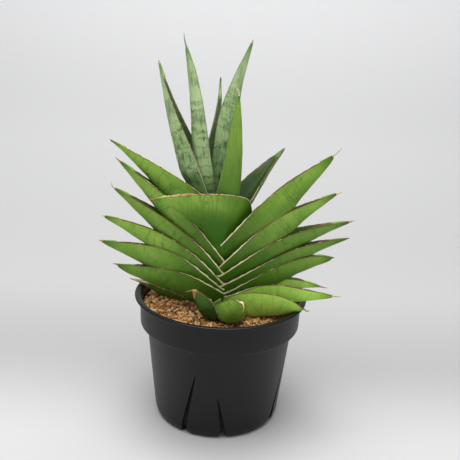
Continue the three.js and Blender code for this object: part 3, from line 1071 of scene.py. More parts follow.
class Leaf:
    """One leaf as a closed mesh: a channelled blade with papery margins and a dry spine."""

    def __init__(self, shape: LeafShape, seed: int, skin: bpy.types.Material, paper: bpy.types.Material,
                 dry: bpy.types.Material) -> None:
        """Takes what the leaf is made from.

        Args:
            shape: Its course and girth.
            seed: Picks its small irregularities.
            skin: The material of its blade.
            paper: The material of its fringe.
            dry: The material of its spine and of its withered tip.
        """
        self.shape = shape
        self.seed = seed
        self.materials = (skin, paper, dry)

    def course(self, share: np.ndarray) -> tuple[np.ndarray, np.ndarray]:
        """Follows the leaf's margins in its upright plane.

        Args:
            share: The shares of the course.

        Returns:
            The points and the unit tangents, as (radius, height).
        """
        shape = self.shape
        first = np.array([shape.start, shape.root], dtype=float)
        last = np.array([shape.reach, shape.tip], dtype=float)
        handle = float(np.linalg.norm(last - first)) * shape.bend
        leave, arrive = math.radians(shape.leave), math.radians(shape.arrive)
        second = first + handle * np.array([math.cos(leave), math.sin(leave)])
        third = last - handle * np.array([math.cos(arrive), math.sin(arrive)])
        t = share[:, None]
        point = ((1 - t) ** 3 * first + 3 * (1 - t) ** 2 * t * second + 3 * (1 - t) * t**2 * third
                 + t**3 * last)
        slope = (1 - t) ** 2 * (second - first) + 2 * (1 - t) * t * (third - second) + t**2 * (last - third)
        if shape.droop:
            point[:, 1] -= shape.droop * np.clip(1 - share / shape.stern, 0, 1) ** 2
        return point, slope / np.linalg.norm(slope, axis=1, keepdims=True)

    def girth(self, share: np.ndarray) -> tuple[np.ndarray, np.ndarray]:
        """Gives how wide and how deep the leaf is.

        Args:
            share: The shares of its length.

        Returns:
            The half width and the depth at each share.
        """
        shape = self.shape
        form = np.ones_like(share)
        if shape.stern:
            form *= np.sqrt(1 - np.clip(1 - share / shape.stern, 0, 1) ** 2)
        if shape.neck:
            form *= shape.neck + (1 - shape.neck) * smoothstep(share, 0, NECK_SHARE)
        width = shape.half * (1 - share) ** shape.slimming * form + SPINE_RADIUS
        left = 1 - share if shape.keel_even else 1 - share**2
        depth = shape.keel * left**shape.keel_slimming * form + SPINE_RADIUS * SPINE_DEPTH
        return width, depth

    def uprights(self, share: np.ndarray, along: np.ndarray) -> np.ndarray:
        """Gives the direction in which each section rises: across the course, but straight up
        at the base of a leaf that wraps the stem.

        Args:
            share: The shares of the course.
            along: The course's unit tangents.

        Returns:
            The unit directions, as (radius, height).
        """
        upright = np.zeros_like(share)
        if not self.shape.neck and not self.shape.stern:
            upright = 1 - smoothstep(share, 0, UPRIGHT_SHARE)
        up = np.stack([-along[:, 1], along[:, 0]], axis=1) * (1 - upright[:, None])
        up[:, 1] += upright
        up /= np.linalg.norm(up, axis=1, keepdims=True)
        return up

    def stations(self) -> Stations:
        """Works out where the sections of the base, the blade and the spine stand.

        Returns:
            The stations from the base to the spine's point.
        """
        shape = self.shape
        share = 1 - (1 - np.linspace(0, 1, BLADE_STATIONS)) ** STATION_CROWDING
        point, along = self.course(share)
        up = self.uprights(share, along)
        width, depth = self.girth(share)
        steps = np.linalg.norm(np.diff(point, axis=0), axis=1)
        run = np.concatenate([[0.0], np.cumsum(steps)])
        length = run[-1]
        cone = smoothstep(run, length - CONE_LENGTH - CONE_BLEND, length - CONE_LENGTH)
        cone = cone * (1 - smoothstep(width, *CONE_HALF_WIDTHS))
        width = width * (1 + HALF_WIDTH_WANDER.at(run, self.seed))
        depth = depth * (1 + DEPTH_WANDER.at(run, self.seed))
        torn = FRINGE_HEIGHT + FRINGE_WANDER.at(run, self.seed)
        lip = (shape.lip_at_root + (shape.lip - shape.lip_at_root) * smoothstep(share, *ROOT_SHARES)) * torn
        lip = np.maximum(lip * (1 - cone), THINNEST_FRINGE)
        sideways = SIDEWAYS_WANDER.at(run, self.seed) * share**2
        if shape.spine.withered:
            shrink = smoothstep(share, 1 - shape.spine.withered, 1.0)
            width = width * (1 + shrink * WITHERED_WANDER.at(run, self.seed))
            depth = depth * (1 - WITHERED_FALL * shrink)
        blade = Stations(share, run, point, up, width, depth, cone, lip, sideways)
        return self.joined([self.wrapping(blade), blade, self.pointed(blade)])

    def wrapping(self, blade: Stations) -> Stations | None:
        """Continues the blade's base round the stem, closing as it goes.

        Args:
            blade: The blade's stations.

        Returns:
            The stations before the blade's first, or None for a leaf that doesn't wrap.
        """
        shape = self.shape
        if not shape.wrap:
            return None
        swing = np.radians(np.linspace(*WRAP_SWING, WRAP_STATIONS + 1)[:-1])
        back = shape.wrap * np.cos(swing)
        closing = np.sin(swing)
        fall = shape.wrap_fall * min(math.tan(math.radians(shape.leave)), WRAP_STEEPEST)
        centre = np.stack([shape.start - back, shape.root - back * fall], axis=1)
        ones = np.ones(WRAP_STATIONS)
        return Stations(0 * ones, -back, centre, np.tile([0.0, 1.0], (WRAP_STATIONS, 1)),
                        blade.width[0] * closing, blade.depth[0] * closing, 0 * ones,
                        blade.lip[0] * (WRAP_LIP + (1 - WRAP_LIP) * closing), 0 * ones)

    def pointed(self, blade: Stations) -> Stations:
        """Continues the blade's tip as its dry spine, curling as it goes.

        Args:
            blade: The blade's stations.

        Returns:
            The stations after the blade's last.
        """
        spine = self.shape.spine
        part = np.linspace(0, 1, SPINE_STATIONS + 1)[1:]
        step = spine.length / SPINE_STATIONS
        angle = np.radians(self.shape.arrive + spine.lift * part)
        moves = step * np.stack([np.cos(angle), np.sin(angle)], axis=1)
        centre = blade.centre[-1] + np.cumsum(moves, axis=0)
        up = np.stack([-np.sin(angle), np.cos(angle)], axis=1)
        slim = (1 - part) ** SPINE_TAPER * SPINE_FALL + SPINE_POINT
        ones = np.ones(SPINE_STATIONS)
        return Stations(ones, blade.run[-1] + spine.length * part, centre, up, blade.width[-1] * slim,
                        blade.depth[-1] * slim, ones, THINNEST_FRINGE * slim, blade.sideways[-1] * ones)

    @staticmethod
    def joined(parts: list[Stations | None]) -> Stations:
        """Puts stretches of stations one after the other.

        Args:
            parts: The stretches, of which some may be None.

        Returns:
            All stations.
        """
        kept = [part for part in parts if part is not None]
        names = Stations.__dataclass_fields__
        return Stations(*(np.concatenate([getattr(part, name) for part in kept]) for name in names))

    def sections(self, at: Stations) -> tuple[np.ndarray, np.ndarray, np.ndarray]:
        """Builds the outside and the inside of every section, each from its left margin over
        the keel to its right margin.

        Args:
            at: The stations.

        Returns:
            The outside's and the inside's points, as (across, rise), and how blunt each
            section is.
        """
        across = np.sin(np.linspace(-1, 1, SECTION_POINTS) * math.pi / 2)[None, :]
        width, depth, cone = at.width[:, None], at.depth[:, None], at.cone[:, None]
        bow = SECTION_BOW + (TIP_BOW - SECTION_BOW) * at.share[:, None]
        drop = 1 - np.abs(across) ** bow
        dent = 1 + DENT_WANDER.at(at.run[:, None] + DENT_SPREAD * across, self.seed)
        ridge = KEEL_RIDGE * np.exp(-((across / RIDGE_SPREAD) ** 2)) * (1 - at.share[:, None])
        outer = np.stack([width * across * dent, -depth * drop * dent - ridge], axis=2)
        margin = np.minimum(MARGIN_THICKNESS, width * MARGIN_LIMIT)
        flank = np.minimum(FLANK_THICKNESS, width * FLANK_LIMIT)
        floor = np.minimum(KEEL_THICKNESS, depth * KEEL_LIMIT)
        wall = margin + (flank - margin) * np.minimum(1, (1 - np.abs(across)) * FLANK_ONSET)
        open_x, open_y = (width - wall) * across, -(depth - floor) * drop
        shut_x, shut_y = width * CONE_FIT * across, CONE_ROOF * width * drop**CONE_BOW
        inner = np.stack([open_x + (shut_x - open_x) * cone, open_y + (shut_y - open_y) * cone], axis=2)
        return outer, inner, bow[:, 0]

    def rings(self, at: Stations) -> tuple[np.ndarray, np.ndarray, np.ndarray, np.ndarray]:
        """Builds every section as a closed ring of points.

        Args:
            at: The stations.

        Returns:
            The points as (across, rise), the distance round from the keel, the distance to
            the margin, and how papery each point looks.
        """
        outer, inner, bow = self.sections(at)
        right = self.fringe(at, outer[:, -1], bow)
        left = self.fringe(at, outer[:, 0] * [-1, 1], bow)[:, ::-1] * [-1, 1]
        points = np.concatenate([outer, right, inner[:, ::-1], left], axis=1)
        middle = SECTION_POINTS // 2
        laid = []
        for edge in (outer, inner):
            span = np.linalg.norm(np.diff(edge, axis=1), axis=2)
            laid.append(np.concatenate([np.zeros((len(span), 1)), np.cumsum(span, axis=1)], axis=1))
        round_outer, round_inner = (length - length[:, middle:middle + 1] for length in laid)
        rim_outer, rim_inner = (np.minimum(length, length[:, -1:] - length) for length in laid)
        none = np.zeros((len(at.share), LIP_POINTS))
        paper = np.tile(FRINGE_PAPER, (len(at.share), 1))
        side = np.ones_like(none)
        round_all = np.concatenate([round_outer, side * round_outer[:, -1:], round_inner[:, ::-1],
                                    side * round_outer[:, :1]], axis=1)
        rim_all = np.concatenate([rim_outer, none, rim_inner[:, ::-1], none], axis=1)
        paper_all = np.concatenate([0 * rim_outer, paper, 0 * rim_inner, paper], axis=1)
        return points, round_all, rim_all, paper_all

    @staticmethod
    def fringe(at: Stations, edge: np.ndarray, bow: np.ndarray) -> np.ndarray:
        """Builds the papery fringe that stands on the right margin of every section.

        Args:
            at: The stations.
            edge: The margin's point at each station.
            bow: How blunt the section is there.

        Returns:
            The fringe's points, from the outside over its edge to the inside.
        """
        rise = np.stack([at.width, at.depth * bow], axis=1)
        rise /= np.linalg.norm(rise, axis=1, keepdims=True)
        inward = np.stack([-rise[:, 1], rise[:, 0]], axis=1)
        slim = np.minimum(1, at.width / FRINGE_HALF_WIDTH)[:, None]
        lip = at.lip[:, None]
        return np.stack([edge + rise * lip * high + inward * deep * slim for high, deep in FRINGE_PLACES],
                        axis=1)

    def rolled(self, rings: np.ndarray, at: Stations) -> np.ndarray:
        """Turns every section about the margin that faces the front.

        Args:
            rings: The points as (across, rise).
            at: The stations.

        Returns:
            The turned points.
        """
        shape = self.shape
        front = -1.0 if math.cos(math.radians(shape.turn)) > 0 else 1.0
        share = smoothstep(at.share, *ROOT_SHARES)
        angle = np.radians(shape.roll_at_root + (shape.roll - shape.roll_at_root) * share)[:, None]
        width = at.width[:, None]
        inward = width - rings[:, :, 0] * front
        rise = rings[:, :, 1]
        turned_in = inward * np.cos(angle) + rise * np.sin(angle)
        turned_up = rise * np.cos(angle) - inward * np.sin(angle)
        return np.stack([(width - turned_in) * front, turned_up], axis=2)

    def placed(self, rings: np.ndarray, at: Stations) -> np.ndarray:
        """Stands the sections on the leaf's course.

        Args:
            rings: The points as (across, rise).
            at: The stations.

        Returns:
            One (x, y, z) row for each point, in metres.
        """
        turn = math.radians(self.shape.turn)
        across = rings[:, :, 0] + at.sideways[:, None]
        radius = at.centre[:, :1] + at.up[:, :1] * rings[:, :, 1]
        height = at.centre[:, 1:] + at.up[:, 1:] * rings[:, :, 1]
        x = radius * math.cos(turn) - across * math.sin(turn) + self.shape.centre[0]
        y = radius * math.sin(turn) + across * math.cos(turn) + self.shape.centre[1]
        return np.stack([x, y, height], axis=2).reshape(-1, 3) * MM

    def darkened(self, share: np.ndarray, rim: np.ndarray) -> np.ndarray:
        """Gives the depth of painted shade: the leaf's own, and more below the bend of the flank.

        Args:
            share: The share of the length at each point.
            rim: Its distance to the margin, in millimetres.

        Returns:
            The depth of the painted shade, from 0 to 1.
        """
        tipward = 1 - CREASE_TIP_FADE * smoothstep(share, *CREASE_TIP)
        keelward_shade = 1 - CREASE_KEEL_FADE * smoothstep(rim, *CREASE_KEEL)
        crease_shade_depth = self.shape.crease * smoothstep(rim, *CREASE_ONSET) * tipward
        return np.maximum(crease_shade_depth * keelward_shade, self.shape.dusk)

    def build(self) -> bpy.types.Object:
        """Builds the mesh with its attributes and materials.

        Returns:
            The leaf's object.
        """
        at = self.stations()
        rings, round_all, rim_all, paper_all = self.rings(at)
        count, size = rings.shape[:2]
        faces, kinds = self.faces(at, count, size)
        made = add_mesh(f"{self.shape.name}_blade", self.placed(self.rolled(rings, at), at), faces)
        for material in self.materials:
            made.data.materials.append(material)
        made.data.polygons.foreach_set("material_index", kinds)
        share_all = np.repeat(at.share[:, None], size, axis=1)
        run_all = np.repeat(at.run[:, None], size, axis=1)
        # The inner face, which the skin darkens as painted shade.
        inside = np.zeros(size)
        inside[SECTION_POINTS + LIP_POINTS:2 * SECTION_POINTS + LIP_POINTS] = 1.0
        inside_all = inside[None, :] * (1 - at.cone[:, None])
        depth_all = inside_all * SIDE_SHIFT + self.seed * SEED_SHIFT
        place = np.stack([round_all * MM, run_all * MM, depth_all], axis=2)
        store(made.data, "blade", place.reshape(-1, 3))
        # The last of these holds painted shade: each leaf's own, and more below the bend of its flank.
        for name, values in (("along", share_all), ("rim", rim_all * MM), ("paper", paper_all),
                             ("inside", inside_all), ("dusk", self.darkened(share_all, rim_all))):
            store(made.data, name, values.reshape(-1))
        made.data.set_sharp_from_angle(angle=math.radians(LEAF_SHARP_ANGLE))
        made.data.update()
        return made

    def faces(self, at: Stations, count: int, size: int) -> tuple[list[list[int]], list[int]]:
        """Joins the rings and closes both ends.

        Args:
            at: The stations.
            count: How many rings there are.
            size: How many points a ring has.

        Returns:
            The faces, and the number of the material that each one takes.
        """
        skin, paper, dry = range(len(self.materials))
        spined = at.run > at.run[-1] - self.shape.spine.length - SPINE_SLACK
        withered = at.share > 1 - self.shape.spine.withered
        dried = spined | withered if self.shape.spine.withered else spined
        last = SECTION_POINTS - 1
        right = range(last, last + LIP_POINTS + 1)
        left = range(size - LIP_POINTS - 1, size)
        fringed = set(right) | set(left)
        faces: list[list[int]] = []
        kinds: list[int] = []
        for station in range(count - 1):
            base = station * size
            for i in range(size):
                j = (i + 1) % size
                faces.append([base + i, base + j, base + size + j, base + size + i])
                kinds.append(dry if dried[station + 1] else paper if i in fringed else skin)
        for base, flip, kind in ((0, True, skin), ((count - 1) * size, False, dry)):
            for cap in self.cap(size):
                faces.append([base + i for i in (reversed(cap) if flip else cap)])
                kinds.append(kind)
        return faces, kinds

    @staticmethod
    def cap(size: int) -> list[list[int]]:
        """Gives the faces that close one end of the blade.

        Args:
            size: How many points a ring has.

        Returns:
            The faces, as the numbers of a ring's points.
        """
        last = SECTION_POINTS - 1
        inner_right = last + LIP_POINTS + 1
        caps = []
        for i in range(last):
            opposite = inner_right + last - i
            caps.append([i, i + 1, opposite - 1, opposite])
        caps.append(list(range(last, inner_right + 1)))
        caps.append([*range(size - LIP_POINTS - 1, size), 0])
        return caps


def store(mesh: bpy.types.Mesh, name: str, values: np.ndarray) -> None:
    """Stores a number or a vector for each vertex.

    Args:
        mesh: The mesh.
        name: The attribute's name.
        values: One number or row for each vertex.
    """
    vector = values.ndim == 2
    made = mesh.attributes.new(name, "FLOAT_VECTOR" if vector else "FLOAT", "POINT")
    made.data.foreach_set("vector" if vector else "value", values.astype(np.float32).ravel())


@dataclass(frozen=True)
class LeafGroup:
    """Leaves that share a skin and a slot."""

    skin: Skin
    slot: str
    shapes: tuple[LeafShape, ...]


LEAF_GROUPS = (
    LeafGroup(Skin.CROWN, "banded_leaf", CROWN_LEAVES[:-1]),
    LeafGroup(Skin.YOUNG, "banded_leaf", CROWN_LEAVES[-1:]),
    LeafGroup(Skin.SHADY, "leaf", BOWL_LEAVES[:1]),
    LeafGroup(Skin.FAN, "leaf", BOWL_LEAVES[1:]),
    LeafGroup(Skin.FAN, "leaf", LEFT_LEAVES),
    LeafGroup(Skin.FAN, "leaf", RIGHT_LEAVES[:-3]),
    LeafGroup(Skin.FRESH, "leaf", RIGHT_LEAVES[-3:]),
    LeafGroup(Skin.SHADY, "leaf", SHOOT_LEAVES[:1]),
    LeafGroup(Skin.FAN, "leaf", SHOOT_LEAVES[1:]),
)


class Plant:
    """All leaves, and the stem that carries them."""

    def __init__(self) -> None:
        """Makes the finishes that the leaves share."""
        self.skins = {kind: skin.material() for kind, skin in SKINS.items()}
        self.papers = {kind: margin.material() for kind, margin in MARGINS.items()}
        self.dry = {kind: matter.material() for kind, matter in DRY_MATTER.items()}

    def build(self) -> list[bpy.types.Object]:
        """Builds every leaf.

        Returns:
            The leaves' objects.
        """
        made = []
        for group in LEAF_GROUPS:
            for shape in group.shapes:
                seed = FIRST_SEED + SEED_STEP * len(made)
                leaf = Leaf(shape, seed, self.skins[group.skin], self.papers[shape.edge],
                            self.dry[shape.spine.kind])
                piece = leaf.build()
                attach(piece, "root")
                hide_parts(shape.name)
                log.info("leaf %s: %d faces", shape.name, len(piece.data.polygons))
                made.append(piece)
        return made

    def dress_stem(self) -> None:
        """Gives the stem's own solid its finish."""
        stem = frame["nodes"]["stem"]
        stem.data.materials.clear()
        stem.data.materials.append(ShadeGreenStem().material())
        log.info("stem dressed")


def add_mesh(name: str, points: np.ndarray, faces: list, smooth: bool = True) -> bpy.types.Object:
    """Makes an object from points in metres and faces.

    Args:
        name: The object's name.
        points: One row for each vertex.
        faces: The vertices of each face.
        smooth: Whether its faces are shaded smooth.

    Returns:
        The object, in the scene.
    """
    mesh = bpy.data.meshes.new(name)
    mesh.from_pydata(np.asarray(points).tolist(), [], faces)
    if smooth:
        mesh.shade_smooth()
    made = bpy.data.objects.new(name, mesh)
    bpy.context.scene.collection.objects.link(made)
    return made


def turned(name: str, corners: list[tuple[float, float, float]], sides: int) -> bpy.types.Object:
    """Turns a closed outline about Z.

    Args:
        name: The object's name.
        corners: (radius, height, fillet) of each corner, in millimetres, from the axis round
            to the axis again.
        sides: How many steps a full turn has.

    Returns:
        The body.
    """
    outline = rounded_outline(corners)
    inner = [point for point in outline if point[0] > 0]
    angles = np.linspace(0, 2 * math.pi, sides, endpoint=False)
    rings = np.array([[radius * np.cos(angles), radius * np.sin(angles), np.full(sides, height)]
                      for radius, height in inner])
    points = list(rings.transpose(0, 2, 1).reshape(-1, 3))
    faces = []
    for ring in range(len(inner) - 1):
        for i in range(sides):
            j = (i + 1) % sides
            faces.append([ring * sides + i, (ring + 1) * sides + i, (ring + 1) * sides + j, ring * sides + j])
    first, last = len(points), len(points) + 1
    points += [(0.0, 0.0, outline[0][1]), (0.0, 0.0, outline[-1][1])]
    base = (len(inner) - 1) * sides
    for i in range(sides):
        j = (i + 1) % sides
        faces.append([first, i, j])
        faces.append([last, base + j, base + i])
    return add_mesh(name, np.array(points) * MM, faces)


def rounded_outline(corners: list[tuple[float, float, float]], steps: int = 5) -> list[tuple[float, float]]:
    """Rounds the corners of an outline with a short curve each.

    Args:
        corners: (radius, height, fillet) of each corner.
        steps: How many pieces each rounding has.

    Returns:
        The (radius, height) points.
    """
    points: list[tuple[float, float]] = []
    for index, (radius, height, fillet) in enumerate(corners):
        here = np.array([radius, height])
        if fillet <= 0 or index in (0, len(corners) - 1):
            points.append((radius, height))
            continue
        before = np.array(corners[index - 1][:2]) - here
        after = np.array(corners[index + 1][:2]) - here
        reach_before = min(fillet, ROUNDING_LIMIT * float(np.linalg.norm(before)))
        reach_after = min(fillet, ROUNDING_LIMIT * float(np.linalg.norm(after)))
        start = here + before / np.linalg.norm(before) * reach_before
        end = here + after / np.linalg.norm(after) * reach_after
        for t in np.linspace(0, 1, steps):
            bent = (1 - t) ** 2 * start + 2 * (1 - t) * t * here + t**2 * end
            points.append((float(bent[0]), float(bent[1])))
    return points


@dataclass
class Slit:
    """One slit at the pot's foot: its turn from the front, its lean and its height."""

    turn: float
    lean: float
    height: float


@dataclass
class Pot:
    """The black slit pot, in millimetres.

    It has a flared lip, a wider band, a tapered wall down to the foot ring and a small pad in
    the middle of its underside. The pair of slits repeats slit_pairs times round the pot. A
    slit is slit_width wide at its foot and twice slit_tip at its top, leans sideways along a
    slight curve, and flares on one side at the very bottom.
    """

    height: float = 113.0
    lip_radius: float = 75.0
    lip_thickness: float = 2.2
    band_radius: float = 70.3
    band_bottom: float = 86.0
    wall_top: float = 64.0
    wall_bottom: float = 54.8
    wall: float = 1.9
    foot_radius: float = 51.0
    foot_width: float = 6.0
    foot_height: float = 2.6
    pad_radius: float = 9.0
    sides: int = 192
    slit_pairs: int = 4
    slit_width: float = 5.2
    slit_tip: float = 0.25
    slit_lean_curve: float = 1.1
    slit_taper: float = 0.8
    slit_steps: int = 13
    flare_width: float = 4.5
    flare_height: float = 2.2
    cut_below: float = 2.0
    cut_outside: float = 4.0
    cut_inside: float = 26.0
    sharp_angle: float = 40.0
    slits: tuple[Slit, ...] = (Slit(-29.5, 13.5, 61), Slit(9, -7.5, 41))

    def wall_radius(self, height: float) -> float:
        """Gives the outer radius of the tapered wall at a height."""
        return self.wall_bottom + (self.wall_top - self.wall_bottom) * height / self.band_bottom

    def profile(self) -> list[tuple[float, float, float]]:
        """Gives the outline, from the inside of the floor over the lip to the underside.

        Returns:
            The (radius, height, fillet) of each corner.
        """
        lip_bottom = self.height - self.lip_thickness
        floor = self.foot_height + self.wall
        inside = self.band_radius - self.wall
        return [
            (0, floor, 0),
            (self.foot_radius - 1, floor, 0),
            (self.wall_radius(floor + 2) - self.wall, floor + 2, 2),
            (self.wall_radius(self.band_bottom) - self.wall, self.band_bottom - 1, 2),
            (inside - 0.5, self.band_bottom + self.wall, 2),
            (inside, self.height - 2.4, 2),
            (self.band_radius + 0.6, self.height - 0.2, 1),
            (self.lip_radius - 0.8, self.height, 1.0),
            (self.lip_radius, self.height - 0.9, 0.8),
            (self.lip_radius - 0.2, lip_bottom, 0.8),
            (self.band_radius + 0.6, lip_bottom, 1.2),
            (self.band_radius, lip_bottom - 3, 2.5),
            (self.band_radius - 0.5, self.band_bottom + 1.5, 1.2),
            (self.band_radius - 1.3, self.band_bottom, 1.2),
            (self.wall_radius(self.band_bottom), self.band_bottom, 2.0),
            (self.wall_radius(6), 6, 3),
            (self.foot_radius + 2.4, 1.6, 2.5),
            (self.foot_radius, 0, 1.5),
            (self.foot_radius - self.foot_width + 1.4, 0, 0.5),
            (self.foot_radius - self.foot_width, self.foot_height, 0.5),
            (self.pad_radius + 1, self.foot_height, 0.5),
            (self.pad_radius, 0, 0.3),
            (0, 0, 0),
        ]

    def cutter(self, slit: Slit, pair: int) -> bpy.types.Object:
        """Builds the leaning wedge that cuts one slit.

        Args:
            slit: The slit.
            pair: Which pair it belongs to.

        Returns:
            The wedge.
        """
        shift = self.wall_radius(slit.height / 2) * math.radians(abs(slit.lean))
        side = math.copysign(1.0, slit.lean)
        rise = np.linspace(0, 1, self.slit_steps)
        middle = shift * rise**self.slit_lean_curve
        half = self.slit_tip + (self.slit_width / 2 - self.slit_tip) * (1 - rise) ** self.slit_taper
        flare = self.flare_width * np.exp(-rise * slit.height / self.flare_height)
        near = (middle - half) * side
        far = (middle + half + flare) * side
        heights = rise * slit.height
        outline = [(near[0], -self.cut_below), *zip(near, heights), *zip(far[::-1], heights[::-1]),
                   (far[0], -self.cut_below)]
        front = -(self.wall_radius(slit.height) + self.cut_outside)
        back = -(self.wall_radius(0) - self.cut_inside)
        points = [(x, front, z) for x, z in outline] + [(x, back, z) for x, z in outline]
        count = len(outline)
        faces = [list(range(count)), list(range(2 * count - 1, count - 1, -1))]
        faces += [[(i + 1) % count, i, count + i, count + (i + 1) % count] for i in range(count)]
        if side > 0:
            faces = [face[::-1] for face in faces]
        made = add_mesh("slit_cutter", np.array(points) * MM, faces, smooth=False)
        made.data.transform(Matrix.Rotation(math.radians(slit.turn + 360 / self.slit_pairs * pair), 4, "Z"))
        return made

    def build(self) -> bpy.types.Object:
        """Turns the pot and cuts its slits.

        Returns:
            The pot.
        """
        body = turned("pot_shell", self.profile()[::-1], self.sides)
        cutters = bpy.data.collections.new("slit_cutters")
        bpy.context.scene.collection.children.link(cutters)
        for pair in range(self.slit_pairs):
            for slit in self.slits:
                made = self.cutter(slit, pair)
                bpy.context.scene.collection.objects.unlink(made)
                cutters.objects.link(made)
        cut = body.modifiers.new("slits", "BOOLEAN")
        cut.operation = "DIFFERENCE"
        cut.operand_type = "COLLECTION"
        cut.collection = cutters
        cut.solver = "EXACT"
        bake_modifiers(body)
        for made in list(cutters.objects):
            bpy.data.objects.remove(made)
        bpy.data.collections.remove(cutters)
        body.data.shade_smooth()
        body.data.set_sharp_from_angle(angle=math.radians(self.sharp_angle))
        return body

    def dress(self, body: bpy.types.Object) -> None:
        """Gives the pot its plastic and hands it to the frame.

        Args:
            body: The pot.
        """
        body.data.materials.clear()
        body.data.materials.append(BlackPlastic().material())
        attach(body, "root")
        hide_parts("pot")
        log.info("pot: %d faces", len(body.data.polygons))


def bake_modifiers(piece: bpy.types.Object) -> None:
    """Replaces an object's mesh by the one that its modifiers give.

    Args:
        piece: The object.
    """
    shown = piece.evaluated_get(bpy.context.evaluated_depsgraph_get())
    mesh = bpy.data.meshes.new_from_object(shown)
    old = piece.data
    piece.modifiers.clear()
    piece.data = mesh
    bpy.data.meshes.remove(old)


@dataclass(frozen=True)
class Grade:
    """One grade of loose stones: its piece's name, the step of the grid on which it is strewn,
    the heights of its stones' middles above the bed, their half lengths, all in millimetres,
    and how often their starting body of 20 faces is divided."""

    name: str
    spacing: float
    heights: tuple[float, float]
    half_lengths: tuple[float, float]
    detail: int


CRUMBS = Grade("soil_crumbs", 2.3, (-0.2, 1.2), (1.0, 1.9), 0)
GRANULES = Grade("soil_granules", 3.1, (1.2, 2.6), (1.1, 2.2), 1)


@dataclass
class Soil:
    """The granular soil, in millimetres: a dark bed that fills the pot, and loose stones on it.

    The grid's rows lie row_share of its step apart, and grid_shake is how far a stone is strewn
    off its place, as a share of the step. girths are the least and the greatest of a stone's
    other half axes, as shares of its half length, and roughness is how far its points stray.
    """

    level: float = 101.2
    radius: float = 67.6
    edge_gap: float = 0.6
    floor_gap: float = 0.3
    wall_gap: float = 0.35
    row_share: float = 0.866
    grid_shake: float = 0.38
    girths: tuple[float, float] = (0.55, 0.95)
    roughness: float = 0.13
    sharp_angle: float = 38.0
    leaf_clearance: float = 1.1
    seed: int = 5

    def build_bed(self, pot: Pot) -> bpy.types.Object:
        """Builds the bed, with a gap of a fraction of a millimetre to the pot.

        Args:
            pot: The pot that it fills.

        Returns:
            The bed.
        """
        floor = pot.foot_height + pot.wall + self.floor_gap
        gap = pot.wall + self.wall_gap
        corners = [
            (0, self.level, 0),
            (pot.band_radius - gap - 0.4, self.level, 0),
            (pot.band_radius - gap - 0.6, pot.band_bottom + pot.wall + 0.5, 0),
            (pot.wall_radius(pot.band_bottom) - gap, pot.band_bottom - 0.5, 0),
            (pot.wall_radius(floor + 2) - gap, floor + 2, 0),
            (pot.foot_radius - 1.5, floor, 0),
            (0, floor, 0),
        ]
        bed = turned("soil_bed", corners, pot.sides // 2)
        bed.data.materials.append(DarkSoil().material())
        return bed

    def spots(self, spacing: float, rng: np.random.Generator) -> np.ndarray:
        """Scatters places over the bed on a shaken triangular grid.

        Args:
            spacing: The grid's step.
            rng: The source of the shaking.

        Returns:
            One (x, y) row for each place.
        """
        rows = int(2 * self.radius / (spacing * self.row_share)) + 2
        columns = int(2 * self.radius / spacing) + 2
        row, column = np.mgrid[0:rows, 0:columns]
        x = (column + 0.5 * (row % 2) - columns / 2) * spacing
        y = (row - rows / 2) * spacing * self.row_share
        places = np.stack([x.ravel(), y.ravel()], axis=1)
        places += rng.uniform(-self.grid_shake, self.grid_shake, places.shape) * spacing
        return places[np.hypot(places[:, 0], places[:, 1]) < self.radius - self.edge_gap]

    def stones(self, grade: Grade, places: np.ndarray, heights: np.ndarray,
               rng: np.random.Generator) -> bpy.types.Object:
        """Builds one mesh of many rough stones.

        Args:
            grade: What the stones are like.
            places: The (x, y) of each stone.
            heights: The height of each stone's middle.
            rng: The source of the shapes.

        Returns:
            The stones.
        """
        ball, triangles = icosphere(grade.detail)
        count = len(places)
        length = rng.uniform(*grade.half_lengths, count)
        girth = rng.uniform(*self.girths, (count, 2))
        scale = np.stack([length, length * girth[:, 0], length * girth[:, 1]], axis=1)
        rough = 1 + rng.normal(0, self.roughness, (count, len(ball), 1))
        body = ball[None] * rough * scale[:, None, :]
        turns = random_turns(count, rng)
        body = np.einsum("nij,nkj->nki", turns, body)
        body += np.concatenate([places, heights[:, None]], axis=1)[:, None, :]
        faces = (triangles[None] + (np.arange(count) * len(ball))[:, None, None]).reshape(-1, 3)
        made = add_mesh(grade.name, body.reshape(-1, 3) * MM, faces.tolist())
        made.data.set_sharp_from_angle(angle=math.radians(self.sharp_angle))
        store(made.data, "tint", np.repeat(rng.uniform(0, 1, count), len(ball)))
        made.data.materials.append(DryGranules(f"{grade.name}_finish").material())
        return made

    def build(self, pot: Pot, leaves: list[bpy.types.Object]) -> list[bpy.types.Object]:
        """Builds the bed, the crumbs and the granules.

        Args:
            pot: The pot that the soil fills.
            leaves: The leaves that the granules keep clear of.

        Returns:
            The three pieces.
        """
        rng = np.random.default_rng(self.seed)
        trees = [BVHTree.FromObject(leaf, bpy.context.evaluated_depsgraph_get()) for leaf in leaves]
        crumbs = self.spots(CRUMBS.spacing, rng)
        crumb_heights = self.level + rng.uniform(*CRUMBS.heights, len(crumbs))
        granules = self.spots(GRANULES.spacing, rng)
        granule_heights = self.level + rng.uniform(*GRANULES.heights, len(granules))
        clear = np.array([self.is_clear((*place, height), trees)
                          for place, height in zip(granules, granule_heights)])
        pieces = [
            self.build_bed(pot),
            self.stones(CRUMBS, crumbs, crumb_heights, rng),
            self.stones(GRANULES, granules[clear], granule_heights[clear], rng),
        ]
        for piece in pieces:
            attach(piece, "root")
            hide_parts("soil")
            log.info("%s: %d faces", piece.name, len(piece.data.polygons))
        return pieces

    def is_clear(self, place: tuple[float, float, float], trees: list[BVHTree]) -> bool:
        """Tells whether a granule's middle keeps off every leaf."""
        point = Vector(place) * MM
        return all(tree.find_nearest(point, self.leaf_clearance * MM)[0] is None for tree in trees)


